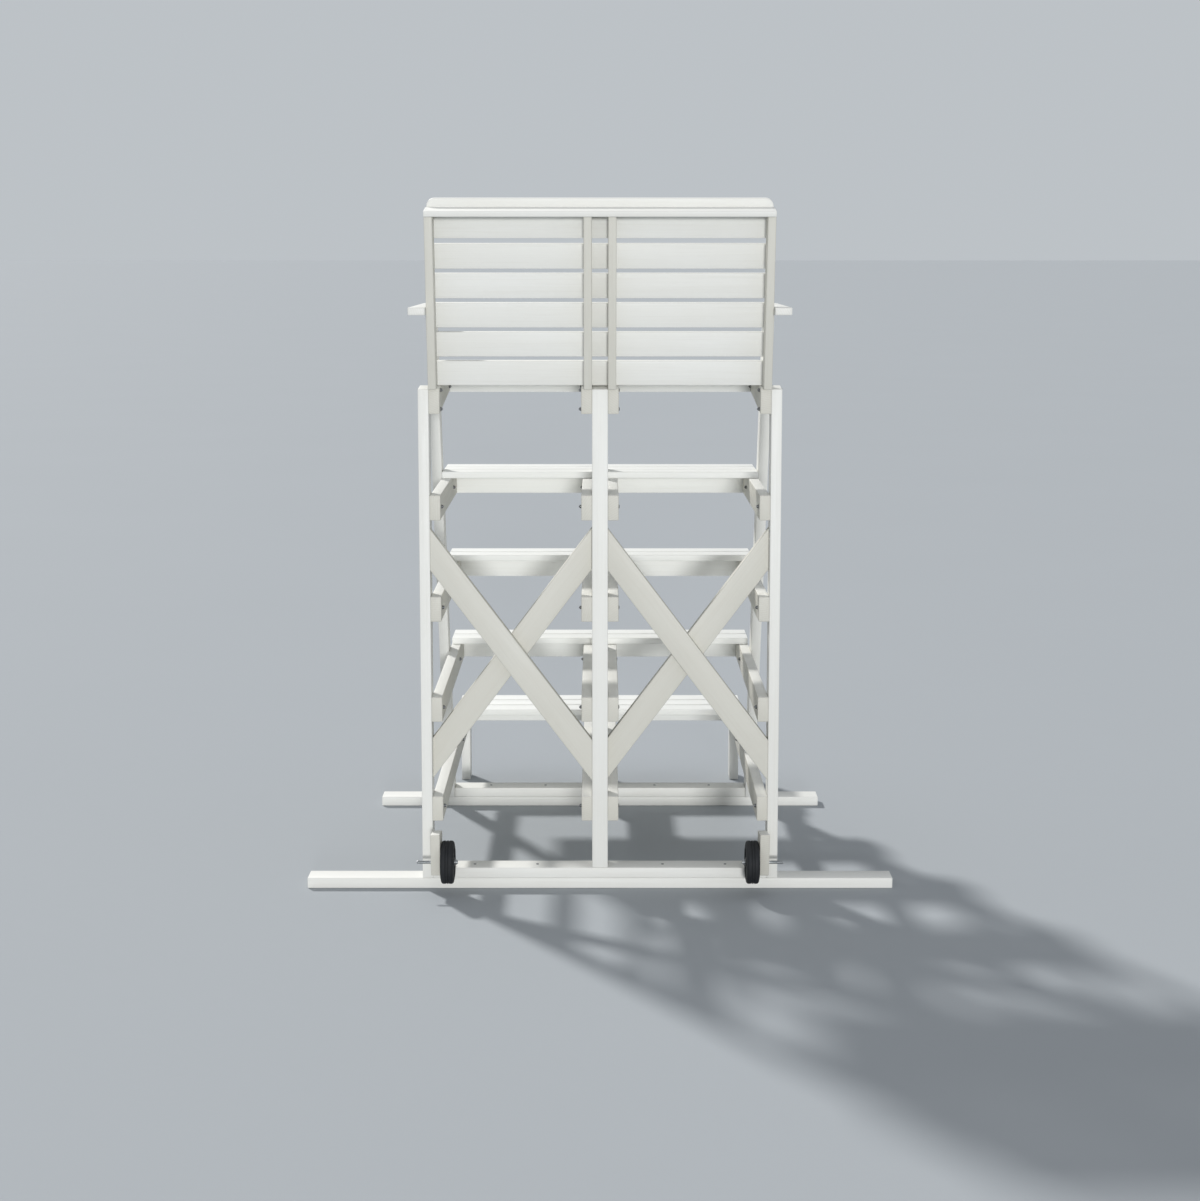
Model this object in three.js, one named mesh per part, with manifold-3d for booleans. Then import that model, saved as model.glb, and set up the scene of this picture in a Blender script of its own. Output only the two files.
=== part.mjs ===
// A two-seat lifeguard stand of white planks on two ground skids, with four steps at the front,
// a slatted seat and back, two arm boards, and a wheel at each rear corner for rolling it when it
// is tipped back. All lengths are in millimetres and all angles in degrees.
//
// +X is the sitter's left, the front faces -Y and +Z is up. A depth is measured forward from the
// back face of the rear legs, so a depth lies at y = -depth inside the stand's group.

import * as THREE from 'three';
import { mergeVertices } from 'three/addons/utils/BufferGeometryUtils.js';
import Module from 'manifold-3d';

const solids = await Module();
solids.setup();

// Board sections
const plankThickness = 38;
const plankWidth = 89;
const centreLegThickness = 56;
const deckThickness = 25;
const deckGap = 10;

// Seating clearances
const seatingGap = 0.3;
const deckEndClearance = 2;

// Widths, from the middle plane outwards
const innerHalfWidth = 600;
const rearSkidHalfLength = 1053;
const frontSkidHalfLength = 901;

// Legs and ground frame
const frontSkidDepth = 1108;
const frontLegRake = 20.5;
const rearLegDrop = 2;

// Steps, from the ground up
const lowestRailHeight = 249;
const stepRise = 362;
const step1PastLeg = 467.9;
const step2PastLeg = 207.2;
const step3PastLeg = 188.6;
const step4PastLeg = 126;
const wideStepCount = 3;
const narrowStepCount = 2;

// Seat, its height at the rear legs' back face
const seatAboveTopStep = 376;
const seatSlope = 5.5;
const seatRailReach = 556;
const seatFirstBoardDepth = 81;
const seatBoardThickness = 19;
const seatBoardCount = 5;
const seatBoardGap = 8;
const seatApronSetback = 81;

// Back
const backRecline = 10.5;
const uprightSetback = 24;
const uprightThickness = 28.5;
const uprightDepth = 76;
const uprightHeight = 594;
const slatThickness = 19;
const slatWidth = 88;
const slatEndClearance = 4;
const slatStart = -6;
const slatGap = 15.8;
const lowerSlatCount = 5;
const topSlatWidth = 138.5;
const topSlatGap = 18.5;
const topSlatCorner = 28;
const capThickness = 20;
const capOverhang = 12;

// Arms
const armAboveSeat = 259;
const armThickness = 27;
const armRearOverhang = 46;
const armFrontOverhang = 80;
const armWidth = 121;
const armSideOverhang = 21;
const armNotchClearance = 12;
const armCorner = 22;

// Rear cross braces: where the middle of each end lies in the gap between two rails
const braceHighShare = 0.619;
const braceLowShare = 0.4835;

// Wheels and their brackets
const wheelRadius = 76;
const wheelWidth = 48;
const wheelShoulder = 9;
const wheelClearance = 1;
const hubRecess = 8;
const hubRadius = 24;
const rimRadius = 46;
const axleRadius = 6;
const axleClearance = 0.08;
const axleHeight = 121;
const axleSetback = 80;
const axleOuterEnd = 51;
const axleNutRadius = 10.5;
const axleNutLength = 8;
const bracketThickness = 34;
const bracketFootRise = 72;
const bracketNeckRise = 138;
const bracketRearRise = 156;
const bracketFootMargin = 16;
const bracketHeadMargin = 42;
const cutOverrun = 5;

// Facet counts
const axleSides = 48;
const wheelSides = 48;
const arcSteps = 6;

// Colours
const paintWhite = 0xe6e6e1;
const paintWarm = 0xdcdad2;
const rubberBlack = 0x202326;
const zincGrey = 0x7d8083;

// Derived places shared by several sub-parts
const outerHalfWidth = innerHalfWidth + plankThickness;
const slatHalfLength = innerHalfWidth - slatEndClearance;
const centreHalfWidth = centreLegThickness / 2;
const skidTop = plankThickness;
const crossTop = skidTop + plankThickness;
const slopeRatio = Math.tan(THREE.MathUtils.degToRad(seatSlope));
const rakeRatio = Math.tan(THREE.MathUtils.degToRad(frontLegRake));
const reclineRatio = Math.tan(THREE.MathUtils.degToRad(backRecline));
const seatRailDrop = plankWidth / Math.cos(THREE.MathUtils.degToRad(seatSlope));
const frontLegFootDepth = frontSkidDepth + plankWidth;
const frontLegRun = plankWidth / Math.cos(THREE.MathUtils.degToRad(frontLegRake));
const uprightRun = uprightDepth / Math.cos(THREE.MathUtils.degToRad(backRecline));
const slatRun = (slatThickness + seatingGap) / Math.cos(THREE.MathUtils.degToRad(backRecline));

// Depth of a raked front leg's front face at a height
function frontLegFace(height) {
  return frontLegFootDepth - (height - skidTop) * rakeRatio;
}

// Each step's rails reach a set length past the front legs' front faces
const steps = [
  { name: 'step_1', pastLeg: step1PastLeg, boards: wideStepCount },
  { name: 'step_2', pastLeg: step2PastLeg, boards: narrowStepCount },
  { name: 'step_3', pastLeg: step3PastLeg, boards: narrowStepCount },
  { name: 'step_4', pastLeg: step4PastLeg, boards: wideStepCount },
].map((step, level) => {
  const railHeight = lowestRailHeight + level * stepRise;
  return { ...step, railHeight, reach: frontLegFace(railHeight) + step.pastLeg };
});

const topStep = steps[steps.length - 1];
const seatHeight = topStep.railHeight + plankWidth + seatAboveTopStep;
const armHeight = seatHeight + armAboveSeat;

const seatApronDepth = seatRailReach - seatApronSetback;

// The outer rails lie inside the outer legs, the centre ones on each side of the centre leg
const railSpans = {
  left: [innerHalfWidth - plankThickness, innerHalfWidth],
  centre_left: [centreHalfWidth, centreHalfWidth + plankThickness],
  centre_right: [-centreHalfWidth - plankThickness, -centreHalfWidth],
  right: [-innerHalfWidth, -innerHalfWidth + plankThickness],
};

const bracketSpans = {
  left: [innerHalfWidth - bracketThickness, innerHalfWidth],
  right: [-innerHalfWidth, -innerHalfWidth + bracketThickness],
};

const legSpans = {
  left: [innerHalfWidth, outerHalfWidth],
  centre: [-centreHalfWidth, centreHalfWidth],
  right: [-outerHalfWidth, -innerHalfWidth],
};

// Height of the seat rails' top line at a depth
function seatLine(depth) {
  return seatHeight + depth * slopeRatio;
}

// Depth of a back upright's rear face at a height
function uprightFace(height) {
  return -uprightSetback - (height - seatHeight) * reclineRatio;
}

// Depth and height where a face leaning away by a ratio crosses a line that rises with depth
function crossing(faceAt, lean, lineAt, slope) {
  const height = (lineAt(0) + slope * faceAt(0)) / (1 + slope * lean);
  return [faceAt(height), height];
}

// Each named piece has a material of its own
function finish(color, roughness, metalness) {
  return new THREE.MeshStandardMaterial({ color, roughness, metalness });
}

function paint() {
  return finish(paintWhite, 0.6, 0);
}

function warmPaint() {
  return finish(paintWarm, 0.65, 0);
}

function steel() {
  return finish(zincGrey, 0.4, 0.9);
}

// A closed three.js geometry as a solid with shared vertices
function toSolid(geometry) {
  const bare = geometry.clone();
  bare.deleteAttribute('normal');
  bare.deleteAttribute('uv');
  const merged = mergeVertices(bare);
  return new solids.Manifold(new solids.Mesh({
    numProp: 3,
    vertProperties: new Float32Array(merged.attributes.position.array),
    triVerts: new Uint32Array(merged.index.array),
  }));
}

function toGeometry(solid) {
  const mesh = solid.getMesh();
  const geometry = new THREE.BufferGeometry();
  geometry.setAttribute('position', new THREE.BufferAttribute(mesh.vertProperties, 3));
  geometry.setIndex(new THREE.BufferAttribute(mesh.triVerts, 1));
  geometry.computeVertexNormals();
  return geometry;
}

function piece(name, geometry, material, place = new THREE.Vector3()) {
  const mesh = new THREE.Mesh(geometry, material);
  mesh.name = name;
  mesh.position.copy(place);
  return mesh;
}

// A plank lying square to the stand, given by its reach along x, depth and height
function block(name, material, [fromX, toX], [fromDepth, toDepth], [fromZ, toZ]) {
  const geometry = new THREE.BoxGeometry(toX - fromX, toDepth - fromDepth, toZ - fromZ);
  const place = new THREE.Vector3((fromX + toX) / 2, -(fromDepth + toDepth) / 2, (fromZ + toZ) / 2);
  return piece(name, geometry, material, place);
}

// An outline seen from the side, extruded along x between two places
function sideExtrusion(shape, [fromX, toX]) {
  const options = { depth: toX - fromX, bevelEnabled: false, curveSegments: arcSteps };
  const turn = new THREE.Matrix4().makeBasis(
    new THREE.Vector3(0, 1, 0),
    new THREE.Vector3(0, 0, 1),
    new THREE.Vector3(1, 0, 0),
  );
  return new THREE.ExtrudeGeometry(shape, options).applyMatrix4(turn);
}

// A piece whose side outline is a list of depths and heights
function sidePiece(name, material, outline, span) {
  const shape = new THREE.Shape(outline.map(([depth, height]) => new THREE.Vector2(-depth, height)));
  return piece(name, sideExtrusion(shape, span), material, new THREE.Vector3(span[0], 0, 0));
}

// A cutter standing through a panel that lies on the xy plane
function slot([fromX, toX], [fromY, toY], thickness) {
  const geometry = new THREE.BoxGeometry(toX - fromX, toY - fromY, thickness + cutOverrun);
  return geometry.translate((fromX + toX) / 2, (fromY + toY) / 2, thickness / 2);
}

// Boards side by side with open slots between them, joined only over the members they lie on
function slottedPanel(panel, thickness, gaps, supports, notches = []) {
  const [middle, inner, outer] = supports;
  const bays = [[-outer, -inner], [-middle, middle], [inner, outer]];
  const slots = gaps.flatMap((gap) => bays.map((bay) => slot(bay, gap, thickness)));
  const cutters = [...slots, ...notches].map(toSolid);
  return toGeometry(cutters.reduce((rest, cutter) => rest.subtract(cutter), toSolid(panel)));
}

// Plain boards of one length and width with gaps between them, laid from the x axis along y
function boardPanel(halfLength, width, thickness) {
  const geometry = new THREE.BoxGeometry(halfLength + halfLength, width, thickness);
  return geometry.translate(0, width / 2, thickness / 2);
}

// The gaps between equal boards laid from zero
function boardGaps(count, width, gap) {
  return Array.from({ length: count - 1 }, (_, index) => {
    const from = (index + 1) * width + index * gap;
    return [from, from + gap];
  });
}

function boardsWidth(count, width, gap) {
  return count * width + (count - 1) * gap;
}

// Two skids on the ground, each with a cross board between the outer legs on top of it
function skids() {
  const across = [-innerHalfWidth, innerHalfWidth];
  const rear = [0, plankWidth];
  const front = [frontSkidDepth, frontSkidDepth + plankWidth];
  const rearReach = [-rearSkidHalfLength, rearSkidHalfLength];
  const frontReach = [-frontSkidHalfLength, frontSkidHalfLength];
  return [
    block('rear_skid', paint(), rearReach, rear, [0, skidTop]),
    block('rear_cross_board', paint(), across, rear, [skidTop, crossTop]),
    block('front_skid', paint(), frontReach, front, [0, skidTop]),
    block('front_cross_board', paint(), across, front, [skidTop, crossTop]),
  ];
}

// An upright rear leg, cut above to the seat's slope: the centre one stands on the cross board
function rearLeg(side) {
  const foot = side === 'centre' ? crossTop : skidTop;
  const outline = [
    [0, foot],
    [plankWidth, foot],
    [plankWidth, seatLine(plankWidth) - rearLegDrop],
    [0, seatLine(0) - rearLegDrop],
  ];
  return sidePiece(`rear_leg_${side}`, paint(), outline, legSpans[side]);
}

// A raked front leg: the outer ones rise to the arms, the centre one stops under the seat
function frontLeg(side) {
  const centre = side === 'centre';
  const foot = centre ? crossTop : skidTop;
  const rearFace = (height) => frontLegFace(height) - frontLegRun;
  const head = centre
    ? [
      crossing(frontLegFace, rakeRatio, seatLine, slopeRatio),
      crossing(rearFace, rakeRatio, seatLine, slopeRatio),
    ]
    : [[frontLegFace(armHeight), armHeight], [rearFace(armHeight), armHeight]];
  const outline = [[rearFace(foot), foot], [frontLegFace(foot), foot], ...head];
  return sidePiece(`front_leg_${side}`, paint(), outline, legSpans[side]);
}

function stepRail(step, side) {
  const heights = [step.railHeight, step.railHeight + plankWidth];
  return block(`${step.name}_rail_${side}`, warmPaint(), railSpans[side], [0, step.reach], heights);
}

function seatRail(side) {
  const outline = [
    [0, seatLine(0) - seatRailDrop],
    [seatRailReach, seatLine(seatRailReach) - seatRailDrop],
    [seatRailReach, seatLine(seatRailReach)],
    [0, seatLine(0)],
  ];
  return sidePiece(`seat_rail_${side}`, warmPaint(), outline, railSpans[side]);
}

// Where rails and uprights carry boards: the middle opening's half, then one bay's two sides
function railSupports() {
  return [centreHalfWidth, centreHalfWidth + plankThickness, innerHalfWidth - plankThickness];
}

function uprightSupports() {
  return [centreHalfWidth, centreHalfWidth + uprightThickness, innerHalfWidth - uprightThickness];
}

// The notch of a step's boards round the centre front leg, measured back from their front edge
function legNotch(step) {
  const top = step.railHeight + plankWidth;
  const front = frontLegFace(top) + deckEndClearance;
  const rear = frontLegFace(top + deckThickness) - frontLegRun - deckEndClearance;
  return [step.reach - front, step.reach - rear];
}

// The boards of one step, from its front edge back
function stepBoards(step) {
  const width = boardsWidth(step.boards, plankWidth, deckGap);
  const gaps = boardGaps(step.boards, plankWidth, deckGap);
  const half = centreHalfWidth + seatingGap;
  const notch = legNotch(step);
  const meets = notch[0] < width && notch[1] > 0;
  const notches = meets ? [slot([-half, half], notch, deckThickness)] : [];
  const panel = boardPanel(innerHalfWidth - deckEndClearance, width, deckThickness);
  const geometry = slottedPanel(panel, deckThickness, gaps, railSupports(), notches);
  const place = new THREE.Vector3(0, -step.reach, step.railHeight + plankWidth);
  return piece(`${step.name}_boards`, geometry, paint(), place);
}

// The board across the front ends of a step's rails
function stepApron(step) {
  const reach = [step.reach, step.reach + plankThickness];
  const heights = [step.railHeight, step.railHeight + plankWidth];
  return block(`${step.name}_apron`, paint(), [-innerHalfWidth, innerHalfWidth], reach, heights);
}

// Short legs that carry the lowest step in front of the front skid
function stepLegs() {
  const lowest = steps[0];
  const front = lowest.reach + plankThickness;
  const depths = [front - plankWidth, front];
  const centreDepths = [lowest.reach - plankWidth, lowest.reach];
  const centreHeights = [0, lowest.railHeight + plankWidth];
  return [
    block('step_leg_left', paint(), railSpans.left, depths, [0, lowest.railHeight]),
    block('step_leg_centre', paint(), legSpans.centre, centreDepths, centreHeights),
    block('step_leg_right', paint(), railSpans.right, depths, [0, lowest.railHeight]),
  ];
}

// A diagonal brace across one bay, its ends cut upright against the legs
function brace([fromX, toX], fromHeight, toHeight, layer) {
  const slope = Math.abs((toHeight - fromHeight) / (toX - fromX));
  const drop = plankWidth * Math.hypot(1, slope);
  const shape = new THREE.Shape([
    new THREE.Vector2(fromX, fromHeight - drop / 2),
    new THREE.Vector2(toX, toHeight - drop / 2),
    new THREE.Vector2(toX, toHeight + drop / 2),
    new THREE.Vector2(fromX, fromHeight + drop / 2),
  ]);
  const geometry = new THREE.ExtrudeGeometry(shape, { depth: plankThickness, bevelEnabled: false });
  return geometry.rotateX(Math.PI / 2).translate(0, -layer * plankThickness, 0);
}

// The height that lies a share of the way up the gap over one step's rails
function overRail(level, share) {
  const low = steps[level].railHeight + plankWidth;
  return low + share * (steps[level + 1].railHeight - low);
}

// Each bay has two braces, one in front of the other and fastened where they cross
function braceCross(side, span) {
  const low = overRail(0, braceLowShare);
  const high = overRail(steps.length - 2, braceHighShare);
  const rear = toSolid(brace(span, low, high, 0));
  const front = toSolid(brace(span, high, low, 1));
  return piece(`brace_cross_${side}`, toGeometry(rear.add(front)), warmPaint());
}

function braces() {
  return [
    braceCross('left', [centreHalfWidth, innerHalfWidth]),
    braceCross('right', [-innerHalfWidth, -centreHalfWidth]),
  ];
}

// Seat boards lie on the sloping seat rails, in a group turned to the same slope
function seat() {
  const slope = THREE.MathUtils.degToRad(seatSlope);
  const width = boardsWidth(seatBoardCount, plankWidth, seatBoardGap);
  const gaps = boardGaps(seatBoardCount, plankWidth, seatBoardGap);
  const panel = boardPanel(innerHalfWidth - deckEndClearance, width, seatBoardThickness);
  const geometry = slottedPanel(panel, seatBoardThickness, gaps, railSupports());
  const rear = seatFirstBoardDepth / Math.cos(slope);
  const group = new THREE.Group();
  group.position.set(0, 0, seatHeight);
  group.rotation.x = -slope;
  group.add(piece('seat_boards', geometry, paint(), new THREE.Vector3(0, -rear - width, seatingGap)));
  return group;
}

// A board between the seat rails of each bay, behind their front ends
function seatAprons() {
  const top = seatLine(seatApronDepth) - seatingGap;
  const depths = [seatApronDepth, seatApronDepth + plankThickness];
  const inner = centreHalfWidth + plankThickness;
  const outer = innerHalfWidth - plankThickness;
  return [
    block('seat_apron_left', paint(), [inner, outer], depths, [top - plankWidth, top]),
    block('seat_apron_right', paint(), [-outer, -inner], depths, [top - plankWidth, top]),
  ];
}

// The four uprights of the back, cut at the foot to the seat's slope and square at the head
function backUprights() {
  const head = seatHeight + uprightHeight;
  const footLine = (depth) => seatLine(depth) + seatingGap;
  const frontFace = (height) => uprightFace(height) + uprightRun;
  const headLine = (depth) => head + (depth - uprightFace(head)) * reclineRatio;
  const outline = [
    crossing(uprightFace, reclineRatio, footLine, slopeRatio),
    crossing(frontFace, reclineRatio, footLine, slopeRatio),
    crossing(frontFace, reclineRatio, headLine, reclineRatio),
    [uprightFace(head), head],
  ];
  const spans = {
    left: [innerHalfWidth - uprightThickness, innerHalfWidth],
    centre_left: [centreHalfWidth, centreHalfWidth + uprightThickness],
    centre_right: [-centreHalfWidth - uprightThickness, -centreHalfWidth],
    right: [-innerHalfWidth, -innerHalfWidth + uprightThickness],
  };
  return Object.entries(spans).map(([side, span]) => (
    sidePiece(`back_upright_${side}`, warmPaint(), outline, span)
  ));
}

// The slats' outline, with rounded upper corners
function slatsShape(top) {
  const corner = slatHalfLength - topSlatCorner;
  const shape = new THREE.Shape();
  shape.moveTo(-slatHalfLength, 0);
  shape.lineTo(slatHalfLength, 0);
  shape.lineTo(slatHalfLength, top - topSlatCorner);
  shape.absarc(corner, top - topSlatCorner, topSlatCorner, 0, Math.PI / 2);
  shape.lineTo(-corner, top);
  shape.absarc(-corner, top - topSlatCorner, topSlatCorner, Math.PI / 2, Math.PI);
  shape.closePath();
  return shape;
}

// Equal slats with a wider one above them
function slats() {
  const lower = boardsWidth(lowerSlatCount, slatWidth, slatGap);
  const gaps = [...boardGaps(lowerSlatCount, slatWidth, slatGap), [lower, lower + topSlatGap]];
  const options = { depth: slatThickness, bevelEnabled: false, curveSegments: arcSteps };
  const panel = new THREE.ExtrudeGeometry(slatsShape(lower + topSlatGap + topSlatWidth), options);
  return slottedPanel(panel, slatThickness, gaps, uprightSupports()).rotateX(Math.PI / 2);
}

// The slats on the front of the uprights and a cap on their heads, in a group that reclines
function back() {
  const capDepth = uprightDepth + capOverhang;
  const cap = new THREE.BoxGeometry(innerHalfWidth + innerHalfWidth, capDepth, capThickness);
  const headHeight = uprightHeight / Math.cos(THREE.MathUtils.degToRad(backRecline)) + seatingGap;
  const capPlace = new THREE.Vector3(0, capOverhang - capDepth / 2, headHeight + capThickness / 2);
  const slatsPlace = new THREE.Vector3(0, -uprightDepth - seatingGap, slatStart);
  const group = new THREE.Group();
  group.position.set(0, uprightSetback, seatHeight);
  group.rotation.x = -THREE.MathUtils.degToRad(backRecline);
  group.add(piece('back_slats', slats(), paint(), slatsPlace));
  group.add(piece('back_cap', cap, paint(), capPlace));
  return group;
}

// An arm board on a front leg's head, notched round the back's outer upright
function arm(name, side) {
  const outer = outerHalfWidth + armSideOverhang;
  const inner = outer - armWidth;
  const notch = innerHalfWidth + seatingGap;
  const rear = uprightFace(armHeight) - armRearOverhang;
  const neck = uprightFace(armHeight) + uprightRun + slatRun + armNotchClearance;
  const front = frontLegFace(armHeight) + armFrontOverhang;
  const shape = new THREE.Shape();
  shape.moveTo(side * outer, -rear);
  shape.lineTo(side * outer, -(front - armCorner));
  shape.quadraticCurveTo(side * outer, -front, side * (outer - armCorner), -front);
  shape.lineTo(side * (inner + armCorner), -front);
  shape.quadraticCurveTo(side * inner, -front, side * inner, -(front - armCorner));
  shape.lineTo(side * inner, -neck);
  shape.lineTo(side * notch, -neck);
  shape.lineTo(side * notch, -rear);
  shape.closePath();
  const options = { depth: armThickness, bevelEnabled: false, curveSegments: arcSteps };
  const geometry = new THREE.ExtrudeGeometry(shape, options);
  return piece(name, geometry, paint(), new THREE.Vector3(0, 0, armHeight));
}

// A board beside an outer rear leg, low along it and taller behind, that carries the axle
function wheelBracket(name, span) {
  const shape = new THREE.Shape([
    new THREE.Vector2(-plankWidth, crossTop),
    new THREE.Vector2(axleSetback + bracketFootMargin, crossTop),
    new THREE.Vector2(axleSetback + bracketHeadMargin, crossTop + bracketRearRise),
    new THREE.Vector2(0, crossTop + bracketNeckRise),
    new THREE.Vector2(0, crossTop + bracketFootRise),
    new THREE.Vector2(-plankWidth, crossTop + bracketFootRise),
  ]);
  const length = span[1] - span[0] + cutOverrun + cutOverrun;
  const radius = axleRadius + axleClearance;
  const bore = new THREE.CylinderGeometry(radius, radius, length, axleSides).rotateZ(Math.PI / 2);
  bore.translate((span[1] - span[0]) / 2, axleSetback, axleHeight);
  const cut = toSolid(sideExtrusion(shape, span)).subtract(toSolid(bore));
  return piece(name, toGeometry(cut), warmPaint(), new THREE.Vector3(span[0], 0, 0));
}

// One half of the wheel's section, from the bore outwards
function wheelSide(half) {
  return [
    [axleRadius + axleClearance, half],
    [hubRadius, half],
    [hubRadius, half - hubRecess],
    [rimRadius, half - hubRecess],
    [rimRadius, half],
    [wheelRadius - wheelShoulder, half],
    [wheelRadius, half - wheelShoulder],
  ];
}

function wheelMiddle() {
  return innerHalfWidth - bracketThickness - wheelClearance - wheelWidth / 2;
}

function wheel(name, side) {
  const near = wheelSide(wheelWidth / 2);
  const far = near.map(([radius, along]) => [radius, -along]).reverse();
  const ring = [...near, ...far, near[0]].reverse();
  const points = ring.map(([radius, along]) => new THREE.Vector2(radius, along));
  const geometry = new THREE.LatheGeometry(points, wheelSides).rotateZ(-Math.PI / 2);
  const place = new THREE.Vector3(side * wheelMiddle(), axleSetback, axleHeight);
  return piece(name, geometry, finish(rubberBlack, 0.8, 0), place);
}

// The axle bolt, with its nut inside the wheel and its end standing out past the leg
function axle(name, side) {
  const nutTo = wheelMiddle() - wheelWidth / 2 - wheelClearance;
  const nutFrom = nutTo - axleNutLength;
  const end = innerHalfWidth + axleOuterEnd;
  const profile = [[0, nutFrom], [axleNutRadius, nutFrom], [axleNutRadius, nutTo]];
  profile.push([axleRadius, nutTo], [axleRadius, end], [0, end]);
  const points = profile.map(([radius, along]) => new THREE.Vector2(radius, along));
  const geometry = new THREE.LatheGeometry(points, axleSides).rotateZ(-side * Math.PI / 2);
  return piece(name, geometry, steel(), new THREE.Vector3(0, axleSetback, axleHeight));
}

function rollers() {
  return [['left', 1], ['right', -1]].flatMap(([name, side]) => [
    wheelBracket(`wheel_bracket_${name}`, bracketSpans[name]),
    wheel(`wheel_${name}`, side),
    axle(`wheel_axle_${name}`, side),
  ]);
}

// The whole stand, with its origin on the ground below the middle of its outline
function stand() {
  const rearMost = -(axleSetback + wheelRadius);
  const frontMost = steps[0].reach + plankThickness;
  const group = new THREE.Group();
  group.add(...skids());
  for (const side of Object.keys(legSpans)) {
    group.add(rearLeg(side), frontLeg(side));
  }
  for (const side of Object.keys(railSpans)) {
    group.add(seatRail(side), ...steps.map((step) => stepRail(step, side)));
  }
  for (const step of steps) {
    group.add(stepBoards(step), stepApron(step));
  }
  group.add(...stepLegs(), ...braces(), seat(), ...seatAprons());
  group.add(...backUprights(), back(), arm('arm_left', 1), arm('arm_right', -1));
  group.add(...rollers());
  group.position.y = (rearMost + frontMost) / 2;
  group.updateMatrixWorld(true);
  return group;
}

export default stand();
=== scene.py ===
"""Dresses the lifeguard stand's frame with painted lumber, hardware and wheels.

Every board of the stand is made again with eased edges and its own run of grain, on the places
that the frame gives, and the bolts, nuts, washers and screws that hold the boards are added.
Lengths are in metres. +X is the sitter's left, the stand faces -Y and +Z is up.
"""

import logging
import math
from dataclasses import dataclass, field
from enum import Enum
from typing import Any, Iterable, Optional, Sequence

import bmesh
import bpy
from mathutils import Matrix, Vector


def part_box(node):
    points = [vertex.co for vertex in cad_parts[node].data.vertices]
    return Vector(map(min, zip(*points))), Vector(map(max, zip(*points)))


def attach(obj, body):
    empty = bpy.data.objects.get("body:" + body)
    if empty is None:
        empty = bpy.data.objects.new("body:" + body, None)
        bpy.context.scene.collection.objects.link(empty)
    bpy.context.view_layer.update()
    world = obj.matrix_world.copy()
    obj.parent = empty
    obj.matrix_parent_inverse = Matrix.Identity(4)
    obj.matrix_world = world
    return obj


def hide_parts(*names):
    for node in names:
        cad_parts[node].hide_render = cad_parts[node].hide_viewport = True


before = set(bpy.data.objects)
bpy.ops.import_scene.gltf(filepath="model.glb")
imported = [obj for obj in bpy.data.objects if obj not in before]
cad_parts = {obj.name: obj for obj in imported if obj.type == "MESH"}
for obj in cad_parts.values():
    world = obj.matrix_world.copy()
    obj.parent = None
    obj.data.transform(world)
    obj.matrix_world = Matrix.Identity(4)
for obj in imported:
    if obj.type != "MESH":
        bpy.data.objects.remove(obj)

log = logging.getLogger("lifeguard_stand")

Point2 = tuple[float, float]
Colour = tuple[float, float, float]

STAND = "stand"
WOOD_SLOT = "white_painted_wood"
STEEL_SLOT = "zinc_plated_steel"
RUBBER_SLOT = "black_rubber"
SMOOTH = 0.6  # radians: gentler edges on metal, rubber and plastic are shaded smooth
MERGE = 1e-6  # metres: points nearer than this are one

MIX_FIRST, MIX_SECOND, MIX_RESULT = 6, 7, 2  # a Mix node's sockets for colours, by number


class Side(Enum):
    """The two sides of the stand, as the sign of x on each."""

    LEFT = 1
    RIGHT = -1

    @property
    def word(self) -> str:
        """The side's name in lower case, as the frame's nodes use it."""
        return self.name.lower()


class Attribute(Enum):
    """Mesh attributes that the finishes read."""

    BOARD = "board"
    EDGE = "edge"
    END = "end"
    TOP = "top"


class Paint(Enum):
    """The coats on the lumber: white, fresher on the steps and creamier on the carrying members."""

    WHITE = "white"
    FRESH = "fresh"
    CREAM = "cream"


# Shader maths


class Socket:
    """A shader value in one material, which Python's operators can do sums with."""

    def __init__(self, graph: "Graph", source: Any) -> None:
        """Keeps a node's output socket and the material that it belongs to."""
        self.graph = graph
        self.source = source

    def _sum(self, operation: str, first: Any, second: Any) -> "Socket":
        """The result of a Math node that does an operation on two values."""
        return self.graph.add("ShaderNodeMath", {"operation": operation}, {0: first, 1: second})

    def __add__(self, other: Any) -> "Socket":
        """Adds a value to this one."""
        return self._sum("ADD", self, other)

    def __sub__(self, other: Any) -> "Socket":
        """Takes a value from this one."""
        return self._sum("SUBTRACT", self, other)

    def __rsub__(self, other: Any) -> "Socket":
        """Takes this value from another."""
        return self._sum("SUBTRACT", other, self)

    def __mul__(self, other: Any) -> "Socket":
        """Multiplies this value by another."""
        return self._sum("MULTIPLY", self, other)


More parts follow.
